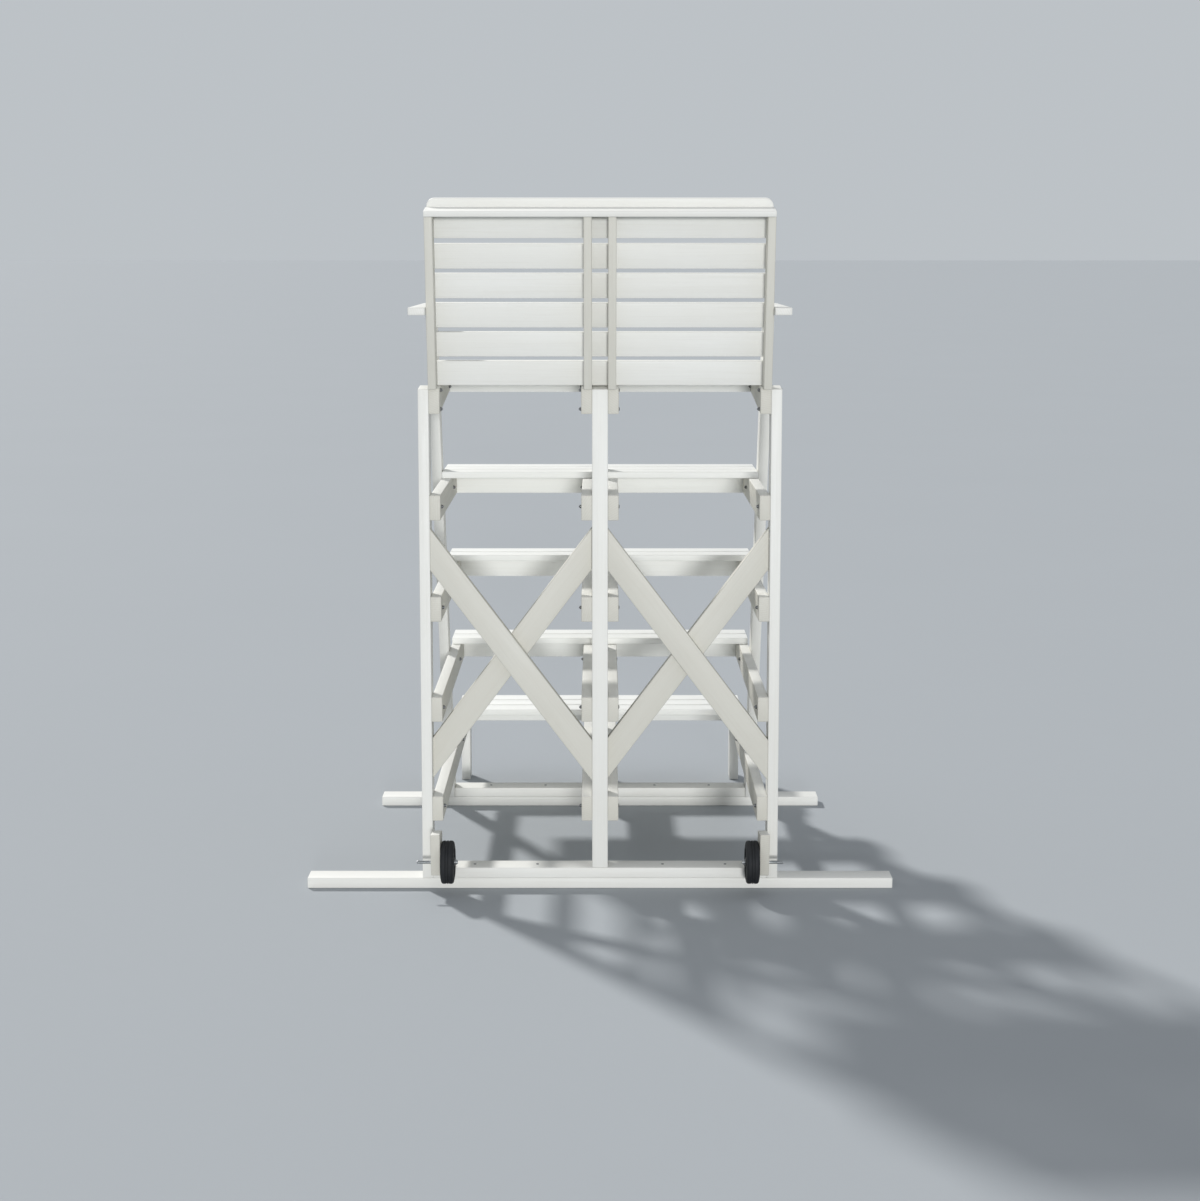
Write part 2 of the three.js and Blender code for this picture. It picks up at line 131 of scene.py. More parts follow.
class Graph:
    """One material's node tree, with a Principled shader on its output."""

    def __init__(self, name: str) -> None:
        """Starts an empty material.

        Args:
            name: The material's name.
        """
        self.material = bpy.data.materials.new(name)
        self.material.use_nodes = True
        self.tree = self.material.node_tree
        self.tree.nodes.clear()
        self.output = self.tree.nodes.new("ShaderNodeOutputMaterial")
        self.shader = self.tree.nodes.new("ShaderNodeBsdfPrincipled")
        self.tree.links.new(self.shader.outputs["BSDF"], self.output.inputs["Surface"])

    def _feed(self, target: Any, value: Any) -> None:
        """Sets or links one input.

        Args:
            target: The input socket.
            value: A Socket to link, or a plain value to set.
        """
        if isinstance(value, Socket):
            self.tree.links.new(value.source, target)
        elif isinstance(value, tuple) and len(value) == 3 and target.type == "RGBA":
            target.default_value = (*value, 1.0)
        else:
            target.default_value = value

    def add(
        self,
        kind: str,
        settings: Optional[dict[str, Any]] = None,
        values: Optional[dict[Any, Any]] = None,
        result: Any = 0,
    ) -> Socket:
        """Adds any node.

        Args:
            kind: The node's type.
            settings: Its own settings, set first.
            values: What its inputs are set or linked to, by name or number.
            result: The name or number of the output that is wanted.

        Returns:
            That output.
        """
        node = self.tree.nodes.new(kind)
        for key, value in (settings or {}).items():
            setattr(node, key, value)
        for key, value in (values or {}).items():
            self._feed(node.inputs[key], value)
        return Socket(self, node.outputs[result])

    def attribute(self, name: Attribute, result: str = "Fac") -> Socket:
        """A mesh attribute, as a number ("Fac") or a "Vector"."""
        return self.add("ShaderNodeAttribute", {"attribute_name": name.value}, result=result)

    def place(self) -> Socket:
        """A point's place on its own piece, in metres."""
        return self.add("ShaderNodeTexCoord", result="Object")

    def stretched(self, vector: Socket, scale: Sequence[float]) -> Socket:
        """Coordinates with each of the three multiplied by its own scale."""
        return self.add("ShaderNodeMapping", values={"Vector": vector, "Scale": tuple(scale)})

    def noise(self, vector: Socket, scale: float, detail: float, rough: float) -> Socket:
        """A pattern from 0 to 1, with about scale patches a metre and finer layers on them."""
        values = {"Vector": vector, "Scale": scale, "Detail": detail, "Roughness": rough}
        return self.add("ShaderNodeTexNoise", values=values, result="Fac")

    def spread(self, value: Socket, low: float, high: float, to: Point2 = (0.0, 1.0)) -> Socket:
        """Stretches part of a pattern's range over another range, and holds it there.

        Args:
            value: The pattern.
            low: The value that becomes the first of the new range.
            high: The value that becomes the last of it.
            to: The new range.

        Returns:
            The stretched pattern.
        """
        values = {"Value": value, "From Min": low, "From Max": high}
        values |= {"To Min": to[0], "To Max": to[1]}
        return self.add("ShaderNodeMapRange", {"clamp": True}, values, "Result")

    def mixed(self, share: Any, first: Any, second: Any) -> Socket:
        """The first colour with a share of the second mixed in."""
        values = {"Factor": share, MIX_FIRST: first, MIX_SECOND: second}
        return self.add("ShaderNodeMix", {"data_type": "RGBA"}, values, MIX_RESULT)

    def bumped(self, height: Socket, distance: float, strength: float) -> Socket:
        """The normal of a height pattern whose full step is a distance in metres."""
        values = {"Height": height, "Distance": distance, "Strength": strength}
        return self.add("ShaderNodeBump", values=values, result="Normal")

    def finish(self, **values: Any) -> bpy.types.Material:
        """Feeds the shader and hands over the material.

        Args:
            values: The shader's inputs, with underscores for the spaces in their names.

        Returns:
            The finished material.
        """
        for key, value in values.items():
            self._feed(self.shader.inputs[key.replace("_", " ")], value)
        return self.material


# Finishes


@dataclass(frozen=True)
class PaintedLumber:
    """Softwood boards under a few coats of exterior paint.

    The paint follows the grain, thins on the eased edges and dulls where hands and feet rub it.
    Faces that look upwards get a lighter colour, painted light that stands in for light from above.
    """

    name: str = "white_painted_lumber"
    paint: Colour = (0.80, 0.80, 0.765)
    aged: Colour = (0.745, 0.735, 0.685)
    rubbed: Colour = (0.62, 0.595, 0.53)
    bare: Colour = (0.50, 0.40, 0.28)
    # painted light: the lighter colour that upward faces get, standing in for light from above
    bleached: Colour = (0.815, 0.815, 0.785)
    bleaching: float = 0.85
    roughness: float = 0.5
    grain_height: float = 0.00045
    wear: float = 0.30

    def build(self) -> bpy.types.Material:
        """Makes the material.

        Returns:
            The finished material.
        """
        g = Graph(self.name)
        board = g.attribute(Attribute.BOARD, "Vector")
        edge = g.attribute(Attribute.EDGE)
        end = g.attribute(Attribute.END)
        top = g.attribute(Attribute.TOP)
        grain = g.noise(g.stretched(board, (2.2, 46.0, 46.0)), 1.0, 4.0, 0.55)
        fibre = g.noise(g.stretched(board, (9.0, 420.0, 420.0)), 1.0, 2.0, 0.5)
        strokes = g.noise(g.stretched(board, (3.5, 190.0, 190.0)), 1.0, 3.0, 0.6)
        patches = g.noise(board, 2.6, 4.0, 0.6)
        specks = g.noise(board, 95.0, 3.0, 0.65)
        about_x = {"wave_type": "RINGS", "rings_direction": "X"}
        spacing = {"Vector": board, "Scale": 42.0, "Distortion": 2.2, "Detail": 2.0}
        rings = g.add("ShaderNodeTexWave", about_x, spacing, "Fac")
        ridges = g.spread(grain, 0.38, 0.66)
        tone = g.spread(patches, 0.30, 0.72)
        colour = g.mixed(tone * 0.55, self.paint, self.aged)
        colour = g.mixed(ridges * 0.26, colour, self.aged)
        streaks = g.spread(strokes, 0.52, 0.74)
        colour = g.mixed(streaks * 0.16, colour, self.rubbed)
        # painted light: upward faces are mixed towards the lighter top colour, a little less on
        # darker patches
        colour = g.mixed(top * (1.0 - tone * 0.2) * self.bleaching, colour, self.bleached)
        rub = g.spread(specks * 0.5 + patches * 0.5, 0.50, 0.66)
        colour = g.mixed(rub * edge * self.wear, colour, self.rubbed)
        chip = g.spread(specks, 0.66, 0.70)
        chip = chip * g.spread(patches, 0.55, 0.66) * edge
        colour = g.mixed(chip * 0.5, colour, self.bare)
        colour = g.mixed(end * rings * 0.22, colour, self.rubbed)
        gloss = g.spread(strokes, 0.25, 0.75, (self.roughness - 0.08, self.roughness + 0.10))
        gloss = gloss + rub * edge * 0.12
        across = (1.0 - end) * (ridges * 0.62 + fibre * 0.16 + strokes * 0.22)
        height = across + end * (rings * 0.45 + fibre * 0.3) - chip * 0.6
        return g.finish(
            Base_Color=colour,
            Roughness=gloss,
            Normal=g.bumped(height, self.grain_height, 0.85),
            Specular_IOR_Level=0.42,
        )


@dataclass(frozen=True)
class ZincSteel:
    """Zinc-plated fasteners gone dull outdoors."""

    name: str = "dull_zinc_steel"
    bright: Colour = (0.30, 0.31, 0.32)
    dull: Colour = (0.15, 0.152, 0.155)
    rust: Colour = (0.14, 0.065, 0.03)

    def build(self) -> bpy.types.Material:
        """Makes the material.

        Returns:
            The finished material.
        """
        g = Graph(self.name)
        place = g.place()
        clouds = g.noise(place, 160.0, 4.0, 0.6)
        grains = g.noise(place, 900.0, 2.0, 0.5)
        stain = g.spread(g.noise(place, 60.0, 5.0, 0.65), 0.60, 0.74)
        colour = g.mixed(g.spread(clouds, 0.3, 0.7), self.bright, self.dull)
        colour = g.mixed(stain * 0.55, colour, self.rust)
        rough = g.spread(clouds, 0.25, 0.75, (0.34, 0.52)) + stain * 0.2
        metal = 1.0 - stain * 0.5
        normal = g.bumped(grains * 0.5 + clouds * 0.5, 0.00012, 0.7)
        return g.finish(Base_Color=colour, Roughness=rough, Metallic=metal, Normal=normal)


@dataclass(frozen=True)
class MouldedRubber:
    """Black wheel rubber with a little ground-in dust."""

    name: str = "black_wheel_rubber"
    black: Colour = (0.0095, 0.0110, 0.0135)
    dust: Colour = (0.105, 0.10, 0.09)
    roughness: float = 0.78

    def build(self) -> bpy.types.Material:
        """Makes the material.

        Returns:
            The finished material.
        """
        g = Graph(self.name)
        place = g.place()
        clouds = g.noise(place, 38.0, 4.0, 0.6)
        pits = g.noise(place, 1100.0, 2.0, 0.5)
        film = g.spread(clouds, 0.42, 0.78)
        colour = g.mixed(film * 0.11, self.black, self.dust)
        rough = g.spread(film, 0.0, 1.0, (self.roughness - 0.1, self.roughness + 0.14))
        normal = g.bumped(pits * 0.6 + clouds * 0.4, 0.00018, 0.8)
        return g.finish(Base_Color=colour, Roughness=rough, Normal=normal, Specular_IOR_Level=0.4)


@dataclass(frozen=True)
class HubPlastic:
    """The wheel's grey-black moulded hub."""

    name: str = "black_hub_plastic"
    base: Colour = (0.026, 0.027, 0.030)
    scuffed: Colour = (0.075, 0.075, 0.075)

    def build(self) -> bpy.types.Material:
        """Makes the material.

        Returns:
            The finished material.
        """
        g = Graph(self.name)
        place = g.place()
        clouds = g.noise(place, 55.0, 4.0, 0.6)
        texture = g.noise(place, 1500.0, 1.0, 0.5)
        scuff = g.spread(clouds, 0.55, 0.8)
        colour = g.mixed(scuff * 0.6, self.base, self.scuffed)
        rough = g.spread(clouds, 0.3, 0.7, (0.38, 0.56))
        return g.finish(Base_Color=colour, Roughness=rough, Normal=g.bumped(texture, 0.00008, 0.6))


@dataclass(frozen=True)
class StudioFloor:
    """A plain pale floor."""

    name: str = "pale_floor"
    colour: Colour = (0.397, 0.424, 0.450)

    def build(self) -> bpy.types.Material:
        """Makes the material.

        Returns:
            The finished material.
        """
        g = Graph(self.name)
        place = g.place()
        clouds = g.noise(place, 0.5, 3.0, 0.5)
        darker = tuple(0.975 * c for c in self.colour)
        colour = g.mixed(clouds, self.colour, darker)
        return g.finish(Base_Color=colour, Roughness=0.85, Specular_IOR_Level=0.2)


FRESH_LUMBER = PaintedLumber(
    name="fresh_painted_lumber",
    paint=(0.850, 0.855, 0.825),
    aged=(0.805, 0.805, 0.765),
    rubbed=(0.70, 0.68, 0.62),
    # painted light: the lighter colour of these boards' upward faces
    bleached=(0.855, 0.860, 0.835),
)
AXLE_STEEL = ZincSteel("worn_zinc_steel", bright=(0.50, 0.52, 0.53), dull=(0.30, 0.31, 0.32))
CREAM_LUMBER = PaintedLumber(
    name="cream_painted_lumber",
    paint=(0.635, 0.625, 0.565),
    aged=(0.590, 0.572, 0.505),
    rubbed=(0.50, 0.47, 0.40),
)


@dataclass
class Finishes:
    """One material of each finish, shared by the pieces."""

    white: bpy.types.Material = field(default_factory=lambda: PaintedLumber().build())
    fresh: bpy.types.Material = field(default_factory=lambda: FRESH_LUMBER.build())
    cream: bpy.types.Material = field(default_factory=lambda: CREAM_LUMBER.build())
    steel: bpy.types.Material = field(default_factory=lambda: ZincSteel().build())
    axle: bpy.types.Material = field(default_factory=lambda: AXLE_STEEL.build())
    rubber: bpy.types.Material = field(default_factory=lambda: MouldedRubber().build())
    hub: bpy.types.Material = field(default_factory=lambda: HubPlastic().build())

    def lumber(self, paint: Paint) -> bpy.types.Material:
        """The painted lumber of a coat."""
        return {Paint.WHITE: self.white, Paint.FRESH: self.fresh, Paint.CREAM: self.cream}[paint]


# Making pieces


@dataclass
class Maker:
    """Turns finished meshes into pieces of the stand and keeps count of them."""

    finishes: Finishes
    made: int = 0

    def place(
        self,
        name: str,
        bm: bmesh.types.BMesh,
        materials: Sequence[bpy.types.Material],
        body: str,
        slot: str,
        nodes: Iterable[str] = (),
        smooth: float = 0.0,
    ) -> bpy.types.Object:
        """Makes an object of a mesh, hangs it on its body and hides the frame's nodes that it
        stands for.

        Args:
            name: The piece's name.
            bm: Its mesh, which is used up.
            materials: Its materials, in the order of its faces' numbers.
            body: The body it rides on.
            slot: The name of a material slot; it is not used.
            nodes: The frame's nodes that it stands for.
            smooth: Edges that turn less than this angle, in radians, are shaded smooth.

        Returns:
            The piece.
        """
        bmesh.ops.recalc_face_normals(bm, faces=bm.faces[:])
        for edge in bm.edges:
            edge.smooth = edge.calc_face_angle(math.pi) < smooth
        for face in bm.faces:
            face.smooth = smooth > 0.0
        mesh = bpy.data.meshes.new(name)
        bm.to_mesh(mesh)
        bm.free()
        for material in materials:
            mesh.materials.append(material)
        piece = bpy.data.objects.new(name, mesh)
        bpy.context.scene.collection.objects.link(piece)
        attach(piece, body)
        nodes = list(nodes)
        if nodes:
            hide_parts(*nodes)
        self.made += 1
        log.info("%s: %d faces on %s", name, len(mesh.polygons), body)
        return piece


@dataclass
class Plank:
    """One board, drawn as an outline with its length along the first axis, then set in place.

    The outline lies on the board's own xy plane and the thickness rises from it. The corners are
    eased, and each point keeps its own place along the board for the finish to read.
    """

    name: str
    outline: Sequence[Point2]
    thickness: float
    place: Matrix
    ease: float = 0.003
    easing_steps: int = 3
    sharp_angle: float = 0.5
    smooth_angle: float = 0.7
    end_facing: float = 0.75
    top_facing: float = 0.85
    node: Optional[str] = None

    @classmethod
    def boxed(cls, name: str, low: Vector, high: Vector, node: Optional[str] = None) -> "Plank":
        """A square board between two corners, its length along the longest side.

        Args:
            name: The board's name.
            low: Its lowest corner.
            high: Its highest corner.
            node: The frame's node that it stands for.

        Returns:
            The board.
        """
        size = high - low
        order = sorted(range(3), key=lambda axis: -size[axis])
        along, across, _ = (Vector([float(i == axis) for i in range(3)]) for axis in order)
        up = along.cross(across)
        start = Vector([low[i] if up[i] >= 0 else high[i] for i in range(3)])
        length, width, thickness = (size[axis] for axis in order)
        place = Matrix((along, across, up)).transposed().to_4x4()
        place.translation = start
        outline = [(0.0, 0.0), (length, 0.0), (length, width), (0.0, width)]
        return cls(name, outline, thickness, place, node=node)

    @classmethod
    def drawn(
        cls,
        name: str,
        corners: Sequence[Vector],
        run: Vector,
        up: Vector,
        thickness: float,
        node: Optional[str] = None,
    ) -> "Plank":
        """A board drawn by the corners of one face.

        Args:
            name: The board's name.
            corners: The face's corners.
            run: The way its length runs.
            up: The way its thickness reaches from the face.
            thickness: Its thickness.
            node: The frame's node that it stands for.

        Returns:
            The board.
        """
        run = run.normalized()
        across = up.cross(run)
        place = Matrix((run, across, up)).transposed().to_4x4()
        place.translation = corners[0]
        outline = [((c - corners[0]).dot(run), (c - corners[0]).dot(across)) for c in corners]
        return cls(name, outline, thickness, place, node=node)

    @classmethod
    def sided(
        cls,
        name: str,
        corners: Sequence[Point2],
        span: Point2,
        grain: Point2,
        node: Optional[str] = None,
    ) -> "Plank":
        """A board drawn from the side, as y and z, between two places along x.

        Args:
            name: The board's name.
            corners: Its side outline.
            span: Where it starts and ends along x.
            grain: The y and z of the way its length runs.
            node: The frame's node that it stands for.

        Returns:
            The board.
        """
        face = [Vector((span[0], y, z)) for y, z in corners]
        run = Vector((0.0, *grain))
        return cls.drawn(name, face, run, Vector((1.0, 0.0, 0.0)), span[1] - span[0], node)

    @classmethod
    def fronted(
        cls,
        name: str,
        corners: Sequence[Point2],
        back: float,
        thickness: float,
        grain: Point2,
        node: Optional[str] = None,
    ) -> "Plank":
        """A board drawn from the back, as x and z, with its thickness reaching forward.

        Args:
            name: The board's name.
            corners: Its outline.
            back: The y of its back face.
            thickness: How far it reaches towards -Y.
            grain: The x and z of the way its length runs.
            node: The frame's node that it stands for.

        Returns:
            The board.
        """
        face = [Vector((x, back, z)) for x, z in corners]
        run = Vector((grain[0], 0.0, grain[1]))
        return cls.drawn(name, face, run, Vector((0.0, -1.0, 0.0)), thickness, node)

    def _seed(self) -> Vector:
        """A shift of the grain that differs from board to board and never changes."""
        total = sum((index + 1) * ord(letter) for index, letter in enumerate(self.name))
        return Vector(((total * 0.731) % 17.0, (total * 0.377) % 11.0, (total * 0.193) % 7.0))

    def mesh(self) -> bmesh.types.BMesh:
        """Builds the board's mesh in place.

        Returns:
            The mesh, with its grain, edge, end and top attributes.
        """
        bm = bmesh.new()
        base = [bm.verts.new((x, y, 0.0)) for x, y in self.outline]
        face = bm.faces.new(base)
        raised = bmesh.ops.extrude_face_region(bm, geom=[face])["geom"]
        top = [item for item in raised if isinstance(item, bmesh.types.BMVert)]
        bmesh.ops.translate(bm, verts=top, vec=(0.0, 0.0, self.thickness))
        bmesh.ops.recalc_face_normals(bm, faces=bm.faces[:])
        sharp = [edge for edge in bm.edges if edge.calc_face_angle(0.0) > self.sharp_angle]
        eased = bmesh.ops.bevel(
            bm,
            geom=sharp,
            offset=self.ease,
            offset_type="OFFSET",
            affect="EDGES",
            segments=self.easing_steps,
            profile=0.5,
            material=-1,
            clamp_overlap=True,
        )
        self._mark(bm, set(eased["faces"]))
        bmesh.ops.transform(bm, matrix=self.place, verts=bm.verts[:])
        return bm

    def _mark(self, bm: bmesh.types.BMesh, eased: set[bmesh.types.BMFace]) -> None:
        """Writes the attributes that the paint reads.

        Args:
            bm: The board's mesh, still along its own axes.
            eased: The faces of its rounded edges.
        """
        along = bm.verts.layers.float_vector.new(Attribute.BOARD.value)
        edges = bm.faces.layers.float.new(Attribute.EDGE.value)
        ends = bm.faces.layers.float.new(Attribute.END.value)
        tops = bm.faces.layers.float.new(Attribute.TOP.value)
        seed = self._seed()
        turn = self.place.to_3x3()
        bm.normal_update()
        for vert in bm.verts:
            vert[along] = vert.co + seed
        for face in bm.faces:
            face[edges] = 1.0 if face in eased else 0.0
            face[ends] = 1.0 if abs(face.normal.x) > self.end_facing else 0.0
            # marks upward faces, which the paint lightens as painted light from above
            face[tops] = 1.0 if (turn @ face.normal).z > self.top_facing else 0.0

    def build(self, maker: Maker, paint: Paint = Paint.WHITE) -> bpy.types.Object:
        """Makes the board a piece of the stand.

        Args:
            maker: The maker that places it.
            paint: The coat that it has.

        Returns:
            The piece.
        """
        nodes = [self.node] if self.node else []
        return maker.place(
            self.name,
            self.mesh(),
            [maker.finishes.lumber(paint)],
            STAND,
            WOOD_SLOT,
            nodes,
            smooth=self.smooth_angle,
        )


@dataclass(frozen=True)
class Sizes:
    """Sizes that several sub-assemblies share.

    Depths are measured forward from the rear legs' back face, whose y is rear_face, and heights
    from the ground.
    """

    rear_face: float = 0.734
    plank: float = 0.038
    width: float = 0.089
    inner: float = 0.600
    outer: float = 0.638
    centre_leg: float = 0.028
    rail_heights: tuple[float, ...] = (0.249, 0.611, 0.973, 1.335)
    reaches: tuple[float, ...] = (1.586, 1.190, 1.036, 0.838)
    boards: tuple[int, ...] = (3, 2, 2, 3)
    deck: float = 0.025
    deck_gap: float = 0.010
    deck_half: float = 0.598
    seat_height: float = 1.800
    seat_slope: float = math.radians(5.5)
    rake: float = math.radians(20.5)
    foot_front: float = 1.197
    front_skid: float = 1.108
    recline: float = math.radians(10.5)
    upright_setback: float = 0.024
    upright_depth: float = 0.076
    arm_height: float = 2.059
    clear: float = 0.0003

    def y(self, depth: float) -> float:
        """The y of a depth."""
        return self.rear_face - depth

    def seat_line(self, depth: float) -> float:
        """The height of the seat rails' top at a depth."""
        return self.seat_height + depth * math.tan(self.seat_slope)

    def leg_front(self, height: float) -> float:
        """The depth of a raked front leg's front face at a height."""
        return self.foot_front - (height - self.plank) * math.tan(self.rake)

    def leg_run(self) -> float:
        """How deep a raked front leg is, measured level."""
        return self.width / math.cos(self.rake)

    def upright_rear(self, height: float) -> float:
        """The depth of a back upright's rear face at a height."""
        return -self.upright_setback - (height - self.seat_height) * math.tan(self.recline)

    def spans(self, thickness: float) -> dict[str, Point2]:
        """Where the four members that lie against the legs start and end along x.

        Args:
            thickness: How thick each of them is.

        Returns:
            The span of each, by its side.
        """
        inner, leg = self.inner, self.centre_leg
        return {
            "left": (inner - thickness, inner),
            "centre_left": (leg, leg + thickness),
            "centre_right": (-leg - thickness, -leg),
            "right": (-inner, thickness - inner),
        }


def arc(middle: Point2, radius: float, start: float, steps: int) -> list[Point2]:
    """Points on a quarter of a circle.

    Args:
        middle: The circle's middle.
        radius: Its radius.
        start: The angle of the first point, in radians.
        steps: How many steps the quarter has.

    Returns:
        The points.
    """
    angles = [start + step / steps * math.pi / 2.0 for step in range(steps + 1)]
    return [(middle[0] + radius * math.cos(a), middle[1] + radius * math.sin(a)) for a in angles]


def ease_edges(
    bm: bmesh.types.BMesh,
    verts: Iterable[bmesh.types.BMVert],
    offset: float,
    steps: int,
) -> None:
    """Rounds every edge that some points lie on.

    Args:
        bm: The mesh.
        verts: The points.
        offset: How far the rounding reaches from an edge.
        steps: How many steps it has.
    """
    bmesh.ops.bevel(
        bm,
        geom=list({edge for vert in verts for edge in vert.link_edges}),
        offset=offset,
        affect="EDGES",
        segments=steps,
        profile=0.5,
        material=-1,
    )


def add_bar(
    bm: bmesh.types.BMesh,
    place: Matrix,
    radii: Point2,
    length: float,
    sides: int,
) -> list[bmesh.types.BMVert]:
    """Adds a short bar, such as a nut, a washer or a bolt's tip, its axis along its own z.

    Args:
        bm: The mesh that it joins.
        place: Where its middle lies and how it is turned.
        radii: Its reach to a corner at each end.
        length: Its length.
        sides: How many sides it has.

    Returns:
        Its points.
    """
    made = bmesh.ops.create_cone(
        bm,
        cap_ends=True,
        segments=sides,
        radius1=radii[0],
        radius2=radii[1],
        depth=length,
    )["verts"]
    bmesh.ops.transform(bm, matrix=place, verts=made)
    return made


# Sub-assemblies


@dataclass
class StraightLumber:
    """Boards that lie square to the stand and stand for one node each."""

    sizes: Sizes
    skids: tuple[str, ...] = ("rear_skid", "rear_cross_board", "front_skid", "front_cross_board")
    legs: tuple[str, ...] = ("left", "centre", "right")
    rails: tuple[str, ...] = ("left", "centre_left", "centre_right", "right")

    def names(self) -> list[str]:
        """Lists the nodes that are plain square boards.

        Returns:
            Their names.
        """
        names = [*self.skids]
        names += [f"step_leg_{side}" for side in self.legs]
        names += [f"step_{n}_rail_{side}" for n in (1, 2, 3, 4) for side in self.rails]
        names += [f"step_{n}_apron" for n in (1, 2, 3, 4)]
        return names + ["seat_apron_left", "seat_apron_right"]

    def build(self, maker: Maker) -> None:
        """Makes every board where its node lies.

        Args:
            maker: The maker that places them.
        """
        for name in self.names():
            low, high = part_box(name)
            paint = Paint.WHITE
            if "_rail_" in name:
                paint = Paint.CREAM
            elif "_apron" in name:
                paint = Paint.FRESH
            Plank.boxed(f"{name}_board", Vector(low), Vector(high), name).build(maker, paint)
        log.info("square boards: %d", len(self.names()))


@dataclass
class Legs:
    """The three upright rear legs and the three raked front legs."""

    sizes: Sizes
    feet: tuple[float, float] = (0.038, 0.076)
    rear_drop: float = 0.002

    def rear_outline(self, centre: bool) -> list[Point2]:
        """A rear leg's side outline, cut to the seat's slope above.

        Args:
            centre: Whether it is the leg that stands on the cross board.

        Returns:
            Its corners, as y and z.
        """
        s = self.sizes
        foot = self.feet[1] if centre else self.feet[0]
        corners = [(0.0, foot), (s.width, foot)]
        corners += [(depth, s.seat_line(depth) - self.rear_drop) for depth in (s.width, 0.0)]
        return [(s.y(depth), height) for depth, height in corners]

    def front_outline(self, centre: bool) -> list[Point2]:
        """A front leg's side outline.

        Args:
            centre: Whether it is the leg that stops under the seat.

        Returns:
            Its corners, as y and z.
        """
        s = self.sizes
        foot = self.feet[1] if centre else self.feet[0]
        corners = []
        for shift in (0.0, s.leg_run()):
            corners.append((s.leg_front(foot) - shift, foot))
        for shift in (s.leg_run(), 0.0):
            top = s.arm_height
            if centre:
                slope, lean = math.tan(s.seat_slope), math.tan(s.rake)
                start = s.leg_front(0.0) - shift
                top = (s.seat_height + slope * start) / (1.0 + slope * lean)
            corners.append((s.leg_front(top) - shift, top))
        return [(s.y(depth), height) for depth, height in corners]

    def build(self, maker: Maker) -> None:
        """Makes the legs.

        Args:
            maker: The maker that places them.
        """
        s = self.sizes
        grain = (math.sin(s.rake), math.cos(s.rake))
        spans = {
            "left": (s.inner, s.outer),
            "centre": (-s.centre_leg, s.centre_leg),
            "right": (-s.outer, -s.inner),
        }
        for side, span in spans.items():
            node = f"front_leg_{side}"
            corners = self.front_outline(side == "centre")
            Plank.sided(f"{node}_board", corners, span, grain, node).build(maker)
            node = f"rear_leg_{side}"
            corners = self.rear_outline(side == "centre")
            Plank.sided(f"{node}_board", corners, span, (0.0, 1.0), node).build(maker)


@dataclass
class StepDecks:
    """The boards of the four steps."""

    sizes: Sizes
    notch_half: float = 0.0285
    notch_room: float = 0.002

    def boards(self, level: int) -> list[Point2]:
        """Where a step's boards lie, from the front back.

        Args:
            level: The step's number from the ground, from 0.

        Returns:
            The depths of each board's back and front edges.
        """
        s = self.sizes
        pitch = s.width + s.deck_gap
        front = s.reaches[level]
        return [(front - n * pitch - s.width, front - n * pitch) for n in range(s.boards[level])]

    def notch(self, level: int) -> Point2:
        """Where the centre front leg passes through a step's boards.

        Args:
            level: The step's number from the ground, from 0.

        Returns:
            The depths of the notch's back and front.
        """
        s = self.sizes
        top = s.rail_heights[level] + s.width
        rear = s.leg_front(top + s.deck) - s.leg_run() - self.notch_room
        return rear, s.leg_front(top) + self.notch_room

    def outline(self, rear: float, front: float, level: int) -> list[Point2]:
        """A board's outline seen from above, cut round the centre leg where it meets it.

        Args:
            rear: The depth of its back edge.
            front: The depth of its front edge.
            level: The step's number from the ground, from 0.

        Returns:
            Its corners, as x and y.
        """
        s = self.sizes
        cut_rear, cut_front = self.notch(level)
        half, gap = s.deck_half, self.notch_half
        if cut_rear >= front or cut_front <= rear:
            return [(-half, s.y(front)), (half, s.y(front)), (half, s.y(rear)), (-half, s.y(rear))]
        if cut_front > front:
            start, inside = s.y(front), s.y(cut_rear)
            return [
                (-half, start), (-gap, start), (-gap, inside), (gap, inside), (gap, start),
                (half, start), (half, s.y(rear)), (-half, s.y(rear)),
            ]
        start, inside = s.y(rear), s.y(cut_front)
        return [
            (-half, s.y(front)), (half, s.y(front)), (half, start), (gap, start),
            (gap, inside), (-gap, inside), (-gap, start), (-half, start),
        ]

    def build(self, maker: Maker) -> None:
        """Makes the boards of every step.

        Args:
            maker: The maker that places them.
        """
        s = self.sizes
        count = 0
        for level in range(len(s.reaches)):
            node = f"step_{level + 1}_boards"
            height = s.rail_heights[level] + s.width
            for number, (rear, front) in enumerate(self.boards(level), start=1):
                outline = self.outline(rear, front, level)
                place = Matrix.Translation((0.0, 0.0, height))
                board = Plank(f"step_{level + 1}_board_{number}", outline, s.deck, place, node=node)
                board.build(maker, Paint.FRESH)
                count += 1
        log.info("step boards: %d", count)


